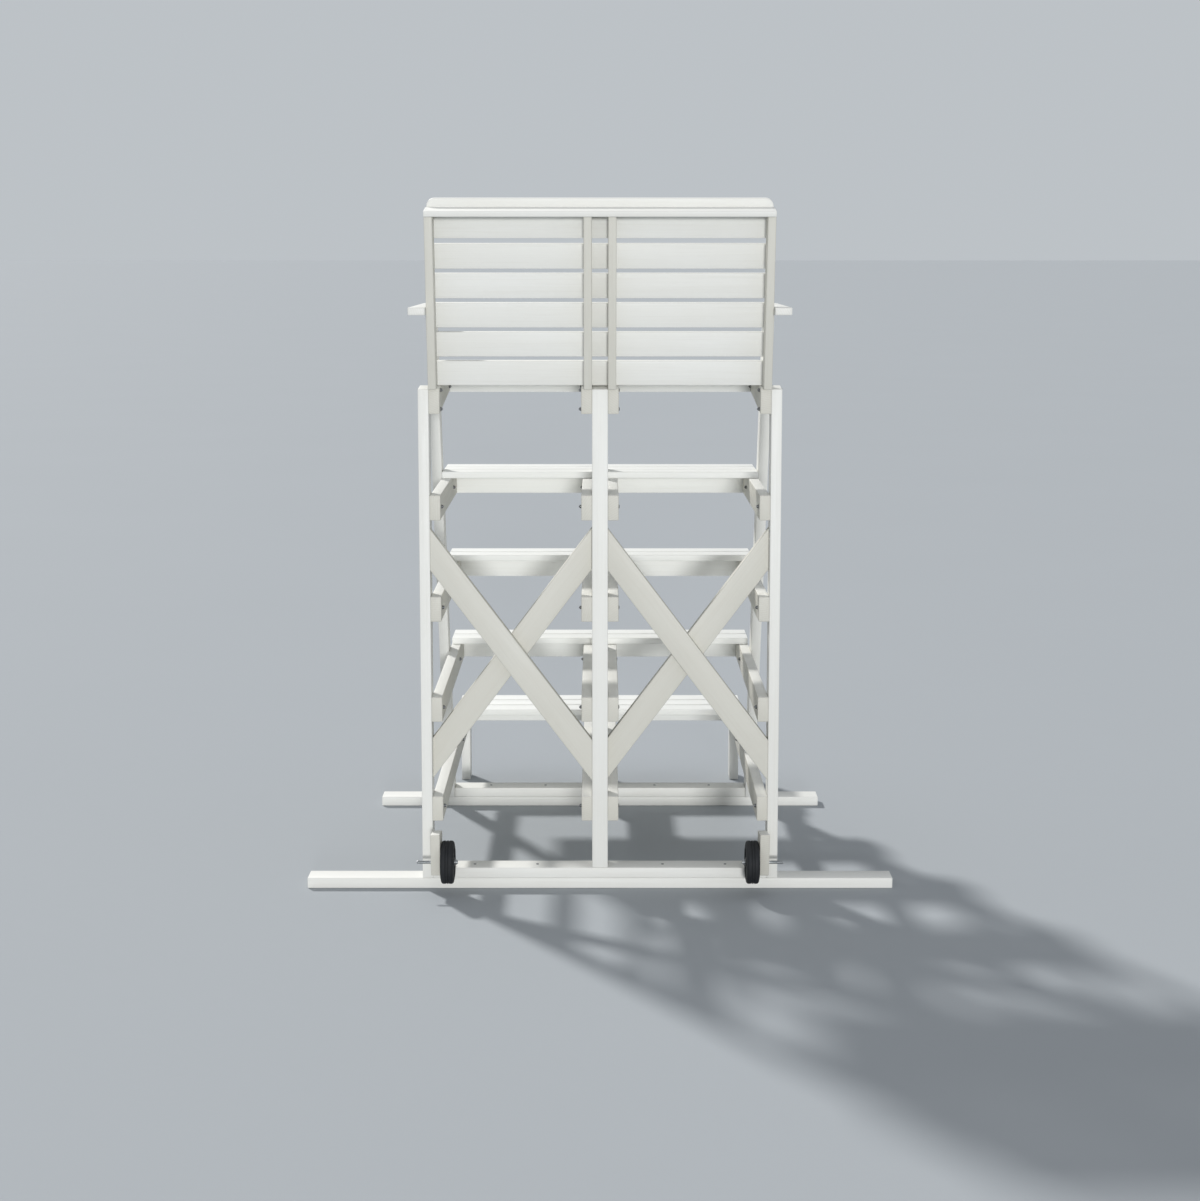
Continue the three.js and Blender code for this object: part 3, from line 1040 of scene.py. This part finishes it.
@dataclass
class Seat:
    """The seat's sloping rails and boards."""

    sizes: Sizes
    reach: float = 0.556
    first: float = 0.081
    thickness: float = 0.019
    count: int = 5
    gap: float = 0.008

    def build(self, maker: Maker) -> None:
        """Makes the rails and the boards.

        Args:
            maker: The maker that places them.
        """
        s = self.sizes
        drop = s.width / math.cos(s.seat_slope)
        grain = (-math.cos(s.seat_slope), math.sin(s.seat_slope))
        corners = [(0.0, -drop), (self.reach, -drop), (self.reach, 0.0), (0.0, 0.0)]
        outline = [(s.y(depth), s.seat_line(depth) + rise) for depth, rise in corners]
        spans = s.spans(s.plank)
        for side, span in spans.items():
            node = f"seat_rail_{side}"
            Plank.sided(f"{node}_board", outline, span, grain, node).build(maker, Paint.CREAM)
        rear_edge = Matrix.Translation((0.0, s.rear_face, s.seat_height))
        tilt = rear_edge @ Matrix.Rotation(-s.seat_slope, 4, "X")
        start = self.first / math.cos(s.seat_slope)
        for number in range(self.count):
            rear = -(start + number * (s.width + self.gap))
            front = rear - s.width
            half = s.deck_half
            corners = [(-half, front), (half, front), (half, rear), (-half, rear)]
            place = tilt @ Matrix.Translation((0.0, 0.0, s.clear))
            name = f"seat_board_{number + 1}"
            Plank(name, corners, self.thickness, place, node="seat_boards").build(maker)
        log.info("seat rails and boards: %d", len(spans) + self.count)


@dataclass
class CrossBraces:
    """The four diagonal braces on the back, two in each bay."""

    sizes: Sizes
    high: float = 1.231
    low: float = 0.470

    def build(self, maker: Maker) -> None:
        """Makes the braces.

        Args:
            maker: The maker that places them.
        """
        s = self.sizes
        bays = {Side.LEFT: (s.centre_leg, s.inner), Side.RIGHT: (-s.inner, -s.centre_leg)}
        for side, (start, end) in bays.items():
            for layer, (near, far) in enumerate(((self.low, self.high), (self.high, self.low))):
                slope = (far - near) / (end - start)
                half = 0.5 * s.width * math.hypot(1.0, slope)
                corners = [(start, near - half), (end, far - half)]
                corners += [(end, far + half), (start, near + half)]
                name = f"brace_{side.word}_{'rear' if layer == 0 else 'front'}"
                back = s.rear_face - layer * s.plank
                node = f"brace_cross_{side.word}"
                grain = (1.0, slope)
                Plank.fronted(name, corners, back, s.plank, grain, node).build(maker, Paint.CREAM)
        log.info("braces: 4")


@dataclass
class Backrest:
    """The reclining uprights, the slats on them and the cap on their heads."""

    sizes: Sizes
    height: float = 0.594
    upright: float = 0.0285
    slat_thickness: float = 0.019
    slat_width: float = 0.088
    slat_half: float = 0.596
    slat_start: float = -0.006
    slat_gap: float = 0.0158
    slats: int = 5
    top_width: float = 0.1385
    top_gap: float = 0.0185
    corner: float = 0.028
    corner_steps: int = 8
    cap_thickness: float = 0.020
    cap_overhang: float = 0.012

    def _tilt(self) -> Matrix:
        """The reclined frame that the slats and the cap lie in."""
        s = self.sizes
        start = Matrix.Translation((0.0, s.rear_face + s.upright_setback, s.seat_height))
        return start @ Matrix.Rotation(-s.recline, 4, "X")

    def _uprights(self, maker: Maker) -> None:
        """Makes the four uprights, cut to the seat's slope below and square above.

        Args:
            maker: The maker that places them.
        """
        s = self.sizes
        slope, lean = math.tan(s.seat_slope), math.tan(s.recline)
        run = s.upright_depth / math.cos(s.recline)
        head = s.seat_height + self.height
        feet = []
        for shift in (0.0, run):
            start = s.upright_rear(0.0) + shift
            foot = (s.seat_height + s.clear + slope * start) / (1.0 + slope * lean)
            feet.append((s.upright_rear(foot) + shift, foot))
        rise = run * lean / (1.0 + lean * lean)
        front = (s.upright_rear(head + rise) + run, head + rise)
        corners = [feet[0], feet[1], front, (s.upright_rear(head), head)]
        outline = [(s.y(depth), height) for depth, height in corners]
        grain = (math.sin(s.recline), math.cos(s.recline))
        for side, span in s.spans(self.upright).items():
            node = f"back_upright_{side}"
            Plank.sided(f"{node}_board", outline, span, grain, node).build(maker, Paint.CREAM)

    def _top_outline(self, low: float) -> list[Point2]:
        """The top slat's outline, with rounded upper corners.

        Args:
            low: The place of its lower edge up the back.

        Returns:
            Its corners, across and up the back.
        """
        half, radius = self.slat_half, self.corner
        middle = low + self.top_width - radius
        points = [(-half, low), (half, low)]
        points += arc((half - radius, middle), radius, 0.0, self.corner_steps)
        return points + arc((radius - half, middle), radius, math.pi / 2.0, self.corner_steps)

    def build(self, maker: Maker) -> None:
        """Makes the whole back.

        Args:
            maker: The maker that places them.
        """
        s = self.sizes
        self._uprights(maker)
        stand_up = Matrix.Rotation(math.pi / 2.0, 4, "X")
        face = -(s.upright_depth + s.clear)
        tilt = self._tilt() @ Matrix.Translation((0.0, face, self.slat_start)) @ stand_up
        half = self.slat_half
        pitch = self.slat_width + self.slat_gap
        for number in range(self.slats):
            low = number * pitch
            high = low + self.slat_width
            corners = [(-half, low), (half, low), (half, high), (-half, high)]
            name = f"back_slat_{number + 1}"
            Plank(name, corners, self.slat_thickness, tilt, node="back_slats").build(maker)
        low = self.slats * pitch - self.slat_gap + self.top_gap
        top = self._top_outline(low)
        Plank("back_top_slat", top, self.slat_thickness, tilt, node="back_slats").build(maker)
        cap_low = self.height / math.cos(s.recline) + s.clear
        rear, front = self.cap_overhang, -s.upright_depth
        corners = [(-s.inner, front), (s.inner, front), (s.inner, rear), (-s.inner, rear)]
        place = self._tilt() @ Matrix.Translation((0.0, 0.0, cap_low))
        Plank("back_cap_board", corners, self.cap_thickness, place, node="back_cap").build(maker)
        log.info("backrest: %d", 4 + self.slats + 2)


@dataclass
class Arms:
    """The arm boards on the outer front legs."""

    sizes: Sizes
    thickness: float = 0.027
    rear_overhang: float = 0.046
    front_overhang: float = 0.080
    width: float = 0.121
    side_overhang: float = 0.021
    notch_room: float = 0.012
    slat_thickness: float = 0.019
    corner: float = 0.022
    corner_steps: int = 6
    ease: float = 0.004

    def outline(self, side: Side) -> list[Point2]:
        """An arm's outline seen from above.

        Args:
            side: The arm's side.

        Returns:
            Its corners, as x and y.
        """
        s = self.sizes
        outer = s.outer + self.side_overhang
        inner = outer - self.width
        notch = s.inner + s.clear
        run = (s.upright_depth + self.slat_thickness + s.clear) / math.cos(s.recline)
        rear = s.y(s.upright_rear(s.arm_height) - self.rear_overhang)
        neck = s.y(s.upright_rear(s.arm_height) + run + self.notch_room)
        front = s.y(s.leg_front(s.arm_height) + self.front_overhang)
        radius, middle = self.corner, -front - self.corner
        rounded = arc((outer - radius, middle), radius, 0.0, self.corner_steps)
        rounded += arc((inner + radius, middle), radius, math.pi / 2.0, self.corner_steps)
        points = [(outer, rear), *((x, -forward) for x, forward in rounded)]
        points += [(inner, neck), (notch, neck), (notch, rear)]
        return [(side.value * x, y) for x, y in points]

    def build(self, maker: Maker) -> None:
        """Makes both arms, their grain running from back to front.

        Args:
            maker: The maker that places them.
        """
        s = self.sizes
        for side in Side:
            turned = [(y, -x) for x, y in self.outline(side)]
            level = Matrix.Translation((0.0, 0.0, s.arm_height))
            place = level @ Matrix.Rotation(math.pi / 2.0, 4, "Z")
            node = f"arm_{side.word}"
            board = Plank(f"{node}_board", turned, self.thickness, place, self.ease, node=node)
            board.build(maker)
        log.info("arms: 2")


@dataclass(frozen=True)
class NutAndWasher:
    """A bolt's nut with its washer, lying along x. Each is eased by a share of one of its sizes."""

    nut_radius: float
    nut_length: float
    washer_radius: float
    washer_length: float = 0.0012
    nut_sides: int = 6
    washer_sides: int = 24
    nut_ease: float = 0.09
    washer_ease: float = 0.2

    def add(self, bm: bmesh.types.BMesh, nut: Vector, washer: Vector) -> None:
        """Adds the nut and the washer.

        Args:
            bm: The mesh that they join.
            nut: The nut's middle.
            washer: The washer's middle.
        """
        turn = Matrix.Rotation(math.pi / 2.0, 4, "Y")
        place, radii = Matrix.Translation(washer) @ turn, (self.washer_radius, self.washer_radius)
        made = add_bar(bm, place, radii, self.washer_length, self.washer_sides)
        ease_edges(bm, made, self.washer_length * self.washer_ease, 1)
        place, radii = Matrix.Translation(nut) @ turn, (self.nut_radius, self.nut_radius)
        made = add_bar(bm, place, radii, self.nut_length, self.nut_sides)
        ease_edges(bm, made, self.nut_radius * self.nut_ease, 2)


@dataclass
class TippingWheels:
    """The wheel at each rear corner, with its bracket and axle bolt.

    The tyre's shoulder and the hub's face are given as radii with insets from the wheel's side, and
    the tread's groove as radii with places from the wheel's middle. Both sides are the same.
    """

    sizes: Sizes
    width: float = 0.048
    axle_y: float = 0.814
    axle_z: float = 0.121
    middle: float = 0.541
    sides: int = 72
    shoulder: tuple[Point2, ...] = (
        (0.0485, 0.004), (0.052, 0.0), (0.060, 0.0), (0.0645, 0.0010),
        (0.071, 0.0025), (0.0745, 0.0055), (0.076, 0.0095),
    )
    groove: tuple[Point2, ...] = (
        (0.076, 0.0025), (0.0735, 0.0035), (0.0735, 0.0055), (0.076, 0.0065),
    )
    hub_face: tuple[Point2, ...] = (
        (0.0062, 0.0), (0.0150, 0.0), (0.0165, 0.0015), (0.0180, 0.008), (0.0230, 0.0095),
        (0.0400, 0.0095), (0.0440, 0.006), (0.0475, 0.0045), (0.0484, 0.0055),
    )
    ribs: int = 6
    rib_size: tuple[float, float, float] = (0.006, 0.0035, 0.0270)
    rib_inset: float = 0.0085
    rib_middle: float = 0.0310
    rib_ease: float = 0.0006
    axle_radius: float = 0.006
    axle_sides: int = 32
    axle_chamfer: float = 0.001
    axle_end: float = 0.651
    axle_tip: float = 0.003
    thread_start: float = 0.604
    thread_pitch: float = 0.00175
    thread_depth: float = 0.0009
    nut_from: float = 0.508
    nut_radius: float = 0.0095
    nut_room: float = 0.0016
    washer_radius: float = 0.0115
    play: float = 0.001
    bracket_thickness: float = 0.034
    bracket_corners: tuple[Point2, ...] = (
        (-0.089, 0.076), (0.096, 0.076), (0.122, 0.232),
        (0.0, 0.214), (0.0, 0.148), (-0.089, 0.148),
    )

    def _bracket(self, side: Side) -> Plank:
        """The board that carries the axle, low beside the leg and taller behind it.

        Args:
            side: The wheel's side.

        Returns:
            The board.
        """
        s = self.sizes
        points = [(s.rear_face + back, height) for back, height in self.bracket_corners]
        near, far = s.inner - self.bracket_thickness, s.inner
        span = (near, far) if side is Side.LEFT else (-far, -near)
        node = f"wheel_bracket_{side.word}"
        return Plank.sided(f"{node}_board", points, span, (1.0, 0.0), node)

    def _turned(self, profile: Sequence[Point2], sides: int) -> bmesh.types.BMesh:
        """Spins a closed profile of radii and places along x round the x axis.

        Args:
            profile: The profile's corners.
            sides: How many steps a full turn has.

        Returns:
            The mesh.
        """
        bm = bmesh.new()
        verts = [bm.verts.new((along, 0.0, radius)) for radius, along in profile]
        edges = [bm.edges.new((a, b)) for a, b in zip(verts, verts[1:])]
        if min(radius for radius, _ in profile) > MERGE:
            edges.append(bm.edges.new((verts[-1], verts[0])))
        bmesh.ops.spin(
            bm,
            geom=verts + edges,
            axis=(1.0, 0.0, 0.0),
            cent=(0.0, 0.0, 0.0),
            angle=2.0 * math.pi,
            steps=sides,
            use_merge=True,
        )
        bmesh.ops.remove_doubles(bm, verts=bm.verts[:], dist=MERGE)
        return bm

    def _tyre(self) -> bmesh.types.BMesh:
        """The rubber tyre, with two grooves round its tread.

        Returns:
            Its mesh, about the wheel's middle.
        """
        half = self.width / 2.0
        ring = [(radius, inset - half) for radius, inset in self.shoulder]
        ring += [(radius, -along) for radius, along in reversed(self.groove)]
        ring += self.groove
        ring += [(radius, half - inset) for radius, inset in reversed(self.shoulder)]
        return self._turned(ring, self.sides)

    def _hub(self) -> bmesh.types.BMesh:
        """The hub's dished web, its rim, its bearing boss and the ribs on both its faces.

        Returns:
            Its mesh, about the wheel's middle.
        """
        half = self.width / 2.0
        near = [(radius, half - inset) for radius, inset in self.hub_face]
        far = [(radius, -along) for radius, along in reversed(near)]
        hub = self._turned(near + far, self.sides)
        for face in (-1.0, 1.0):
            for number in range(self.ribs):
                made = bmesh.ops.create_cube(hub, size=1.0)["verts"]
                size = Matrix.Diagonal((*self.rib_size, 1.0))
                out = Matrix.Translation((face * (half - self.rib_inset), 0.0, self.rib_middle))
                turn = Matrix.Rotation(number * 2.0 * math.pi / self.ribs, 4, "X")
                bmesh.ops.transform(hub, matrix=turn @ out @ size, verts=made)
                ease_edges(hub, made, self.rib_ease, 2)
        return hub

    def _wheel(self, side: Side, maker: Maker) -> None:
        """Makes one wheel of a tyre and a hub.

        Args:
            side: The wheel's side.
            maker: The maker that places it.
        """
        place = Matrix.Translation((side.value * self.middle, self.axle_y, self.axle_z))
        node = f"wheel_{side.word}"
        parts = {
            "tyre": (self._tyre(), maker.finishes.rubber),
            "hub": (self._hub(), maker.finishes.hub),
        }
        for part, (bm, finish) in parts.items():
            bmesh.ops.transform(bm, matrix=place, verts=bm.verts[:])
            body = f"{side.word}_wheel"
            maker.place(f"{node}_{part}", bm, [finish], body, RUBBER_SLOT, [node], SMOOTH)

    def _axle(self, side: Side, maker: Maker) -> None:
        """Makes the axle bolt, threaded at its outer end, with its nut and washer.

        Args:
            side: The wheel's side.
            maker: The maker that places it.
        """
        r, chamfer, pitch = self.axle_radius, self.axle_chamfer, self.thread_pitch
        root = r - self.thread_depth
        start, along = self.nut_from - self.axle_tip, self.thread_start
        profile = [(0.0, start), (r - chamfer, start), (r, start + chamfer), (r, along)]
        while along + pitch < self.axle_end - 1.5 * chamfer:
            profile += [(r, along + 0.25 * pitch), (root, along + 0.6 * pitch)]
            profile.append((r, along + 0.95 * pitch))
            along += pitch
        profile += [(r - chamfer, self.axle_end), (0.0, self.axle_end)]
        bolt = self._turned(profile, self.axle_sides)
        wheel_face = self.middle - self.width / 2.0 - self.play
        length = wheel_face - self.nut_from - self.nut_room
        fastener = NutAndWasher(self.nut_radius, length, self.washer_radius)
        nut = Vector(((self.nut_from + wheel_face) / 2.0, 0.0, 0.0))
        washer = Vector((wheel_face - fastener.washer_length / 2.0, 0.0, 0.0))
        fastener.add(bolt, nut, washer)
        mirror = Matrix.Diagonal((float(side.value), 1.0, 1.0, 1.0))
        place = Matrix.Translation((0.0, self.axle_y, self.axle_z)) @ mirror
        bmesh.ops.transform(bolt, matrix=place, verts=bolt.verts[:])
        node = f"wheel_axle_{side.word}"
        steel = [maker.finishes.axle]
        maker.place(f"{node}_bolt", bolt, steel, STAND, STEEL_SLOT, [node], SMOOTH)

    def build(self, maker: Maker) -> None:
        """Makes both wheels with their brackets and axles.

        Args:
            maker: The maker that places them.
        """
        for side in Side:
            self._bracket(side).build(maker, Paint.CREAM)
            self._wheel(side, maker)
            self._axle(side, maker)
        log.info("wheels with brackets and axles: 2")


@dataclass
class Hardware:
    """The bolts through the rails and legs and the screws in the cross boards."""

    sizes: Sizes
    fastener: NutAndWasher = NutAndWasher(0.0064, 0.0052, 0.0080)
    tip_radii: Point2 = (0.0032, 0.00272)
    tip_length: float = 0.0030
    tip_sunk: float = 0.0005
    head_radius: float = 0.0078
    head_height: float = 0.0036
    upright_bolts: tuple[float, float] = (1.7925, 1.7255)
    seat_bolt: Point2 = (0.466, 1.778)
    screw_places: tuple[float, ...] = (-0.452, -0.226, 0.226, 0.452)
    screw_radii: Point2 = (0.0055, 0.0044)
    screw_length: float = 0.002
    screw_middle: float = 0.0766
    round_sides: int = 16

    def crossings(self, centre: bool) -> list[Point2]:
        """Where bolts pass through one frame.

        Args:
            centre: Whether it is the middle frame, which also has the short step leg.

        Returns:
            Depths and heights.
        """
        s = self.sizes
        rear = s.width / 2.0
        places = []
        for height in s.rail_heights:
            middle = height + s.width / 2.0
            places.append((rear, middle))
            places.append((s.leg_front(middle) - s.leg_run() / 2.0, middle))
        places += [*((rear, height) for height in self.upright_bolts), self.seat_bolt]
        if centre:
            places.append((s.reaches[0] - s.width / 2.0, s.rail_heights[0] + s.width / 2.0))
        return places

    def _bolt(self, bm: bmesh.types.BMesh, faces: Point2, depth: float, height: float) -> None:
        """Adds one bolt with its washer, nut, tip and domed head.

        Args:
            bm: The mesh that it joins.
            faces: The x of the faces that the nut and the domed head are on.
            depth: The bolt's depth.
            height: The bolt's height.
        """
        y = self.sizes.y(depth)
        nut, head = (Vector((x, y, height)) for x in faces)
        out = Vector((math.copysign(1.0, nut.x - head.x), 0.0, 0.0))
        washer, length = self.fastener.washer_length, self.fastener.nut_length
        self.fastener.add(bm, nut + out * (washer + length / 2.0), nut + out * (washer / 2.0))
        tip = nut + out * (washer + length + self.tip_length / 2.0 - self.tip_sunk)
        place = Matrix.Translation(tip) @ Matrix.Rotation(out.x * math.pi / 2.0, 4, "Y")
        add_bar(bm, place, self.tip_radii, self.tip_length, self.round_sides)
        self._dome(bm, head, -out.x)

    def _dome(self, bm: bmesh.types.BMesh, place: Vector, out: float) -> None:
        """Adds a carriage bolt's low domed head.

        Args:
            bm: The mesh that it joins.
            place: The middle of its flat face.
            out: 1 where it stands out towards +X, and -1 towards -X.
        """
        made = bmesh.ops.create_uvsphere(bm, u_segments=20, v_segments=12, radius=1.0)["verts"]
        bmesh.ops.delete(bm, geom=[v for v in made if v.co.z < -0.01], context="VERTS")
        kept = [v for v in made if v.is_valid]
        rim = [e for e in {e for v in kept for e in v.link_edges} if e.is_boundary]
        bmesh.ops.holes_fill(bm, edges=rim)
        size = Matrix.Diagonal((self.head_radius, self.head_radius, self.head_height, 1.0))
        turn = Matrix.Rotation(out * math.pi / 2.0, 4, "Y")
        bmesh.ops.transform(bm, matrix=Matrix.Translation(place) @ turn @ size, verts=kept)

    def _frame_bolts(self, maker: Maker) -> None:
        """Makes the bolts of the three frames.

        Args:
            maker: The maker that places them.
        """
        s = self.sizes
        side, centre = s.inner - s.plank, s.centre_leg + s.plank
        frames = {
            "left": (side, s.outer),
            "centre": (centre, -centre),
            "right": (-side, -s.outer),
        }
        for name, faces in frames.items():
            bm = bmesh.new()
            places = self.crossings(name == "centre")
            for depth, height in places:
                self._bolt(bm, faces, depth, height)
            steel = [maker.finishes.steel]
            maker.place(f"frame_bolts_{name}", bm, steel, STAND, STEEL_SLOT, smooth=SMOOTH)
            log.info("%s frame bolts: %d", name, len(places))

    def _skid_screws(self, maker: Maker) -> None:
        """Makes the screws that hold each cross board on its skid.

        Args:
            maker: The maker that places them.
        """
        s = self.sizes
        bm = bmesh.new()
        for rear in (0.0, s.front_skid):
            for x in self.screw_places:
                place = Matrix.Translation((x, s.y(rear + s.width / 2.0), self.screw_middle))
                add_bar(bm, place, self.screw_radii, self.screw_length, self.round_sides)
        maker.place("skid_screws", bm, [maker.finishes.steel], STAND, STEEL_SLOT, smooth=SMOOTH)

    def build(self, maker: Maker) -> None:
        """Makes all the bolts and screws."""
        self._frame_bolts(maker)
        self._skid_screws(maker)


@dataclass(frozen=True)
class Lamp:
    """A distant soft lamp, which lights the stand and the whole floor alike.

    It shines towards a direction and looks as wide as its softness, in degrees. Its strength is
    its light on a face square to it, in watts a square metre.
    """

    name: str
    towards: tuple[float, float, float]
    softness: float
    strength: float
    colour: Colour

    def build(self) -> None:
        """Hangs the lamp."""
        data = bpy.data.lights.new(self.name, "SUN")
        data.angle = math.radians(self.softness)
        data.energy = self.strength
        data.color = self.colour
        lamp = bpy.data.objects.new(self.name, data)
        lamp.rotation_euler = Vector(self.towards).to_track_quat("-Z", "Y").to_euler()
        bpy.context.scene.collection.objects.link(lamp)


KEY_LAMP = Lamp("key_lamp", (-0.448, 0.621, -0.643), 5.0, 2.80, (1.0, 0.985, 0.96))
FILL_LAMP = Lamp("fill_lamp", (0.06, -0.995, -0.078), 8.0, 1.68, (0.99, 0.995, 1.0))


@dataclass
class Studio:
    """The floor, the lamps and the camera.

    The key lamp stands at the far upper left of the view, and the fill lamp behind the camera.
    """

    sizes: Sizes
    focal_px: float = 2050.0
    frame_px: tuple[int, int] = (1200, 1201)
    axis_px: tuple[float, float] = (600.0, 500.0)
    distance: float = 7.1617
    height: float = 2.2721
    pitch: float = math.radians(6.879)
    sensor: float = 36.0
    air: Colour = (0.93, 0.96, 1.0)
    air_strength: float = 0.50
    backdrop: Colour = (0.508, 0.540, 0.568)
    floor_half: float = 600.0
    floor_drop: float = 0.0005

    def camera(self) -> None:
        """Sets the camera at the photograph's place, behind the stand."""
        data = bpy.data.cameras.new("photo_camera")
        data.sensor_fit = "HORIZONTAL"
        data.sensor_width = self.sensor
        data.lens = self.sensor * self.focal_px / self.frame_px[0]
        data.shift_x = (self.frame_px[0] / 2.0 - self.axis_px[0]) / self.frame_px[0]
        data.shift_y = (self.axis_px[1] - self.frame_px[1] / 2.0) / self.frame_px[0]
        data.clip_end = 1500.0
        camera = bpy.data.objects.new("photo_camera", data)
        camera.location = (0.0, self.sizes.rear_face + self.distance, self.height)
        camera.rotation_euler = (math.pi / 2.0 - self.pitch, 0.0, math.pi)
        bpy.context.scene.collection.objects.link(camera)
        bpy.context.scene.camera = camera

    def _background(self, tree: bpy.types.NodeTree, colour: Colour, strength: float) -> Any:
        """Adds an even background to the world.

        Args:
            tree: The world's node tree.
            colour: The background's colour.
            strength: Its strength.

        Returns:
            Its output socket.
        """
        node = tree.nodes.new("ShaderNodeBackground")
        node.inputs["Color"].default_value = (*colour, 1.0)
        node.inputs["Strength"].default_value = strength
        return node.outputs[0]

    def world(self) -> None:
        """Lights the air evenly, and shows a pale backdrop to the eye and in reflections."""
        world = bpy.data.worlds.new("studio_air")
        bpy.context.scene.world = world
        world.use_nodes = True
        tree = world.node_tree
        tree.nodes.clear()
        output = tree.nodes.new("ShaderNodeOutputWorld")
        path = tree.nodes.new("ShaderNodeLightPath")
        seen = path.outputs["Is Camera Ray"]
        for ray in ("Is Glossy Ray", "Is Transmission Ray"):
            either = tree.nodes.new("ShaderNodeMath")
            either.operation = "MAXIMUM"
            tree.links.new(seen, either.inputs[0])
            tree.links.new(path.outputs[ray], either.inputs[1])
            seen = either.outputs[0]
        mix = tree.nodes.new("ShaderNodeMixShader")
        tree.links.new(seen, mix.inputs["Fac"])
        tree.links.new(self._background(tree, self.air, self.air_strength), mix.inputs[1])
        tree.links.new(self._background(tree, self.backdrop, 1.0), mix.inputs[2])
        tree.links.new(mix.outputs[0], output.inputs["Surface"])

    def floor(self) -> None:
        """Lays the pale floor."""
        bm = bmesh.new()
        bmesh.ops.create_grid(bm, x_segments=1, y_segments=1, size=self.floor_half)
        bmesh.ops.translate(bm, verts=bm.verts[:], vec=(0.0, 0.0, -self.floor_drop))
        mesh = bpy.data.meshes.new("studio_floor")
        bm.to_mesh(mesh)
        bm.free()
        mesh.materials.append(StudioFloor().build())
        floor = bpy.data.objects.new("studio_floor", mesh)
        bpy.context.scene.collection.objects.link(floor)

    def build(self) -> None:
        """Sets up the whole studio."""
        self.camera()
        KEY_LAMP.build()
        FILL_LAMP.build()
        self.world()
        self.floor()
        bpy.context.scene.view_settings.view_transform = "Standard"
        log.info("studio ready")


def main() -> None:
    """Builds the studio and every sub-assembly."""
    logging.basicConfig(level=logging.INFO, format="%(name)s: %(message)s")
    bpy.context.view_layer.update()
    sizes = Sizes()
    Studio(sizes).build()
    maker = Maker(Finishes())
    for assembly in (
        StraightLumber(sizes),
        Legs(sizes),
        StepDecks(sizes),
        Seat(sizes),
        CrossBraces(sizes),
        Backrest(sizes),
        Arms(sizes),
        TippingWheels(sizes),
        Hardware(sizes),
    ):
        assembly.build(maker)
        log.info("%s done", type(assembly).__name__)
    log.info("pieces made: %d", maker.made)


if __name__ == "__main__":
    main()
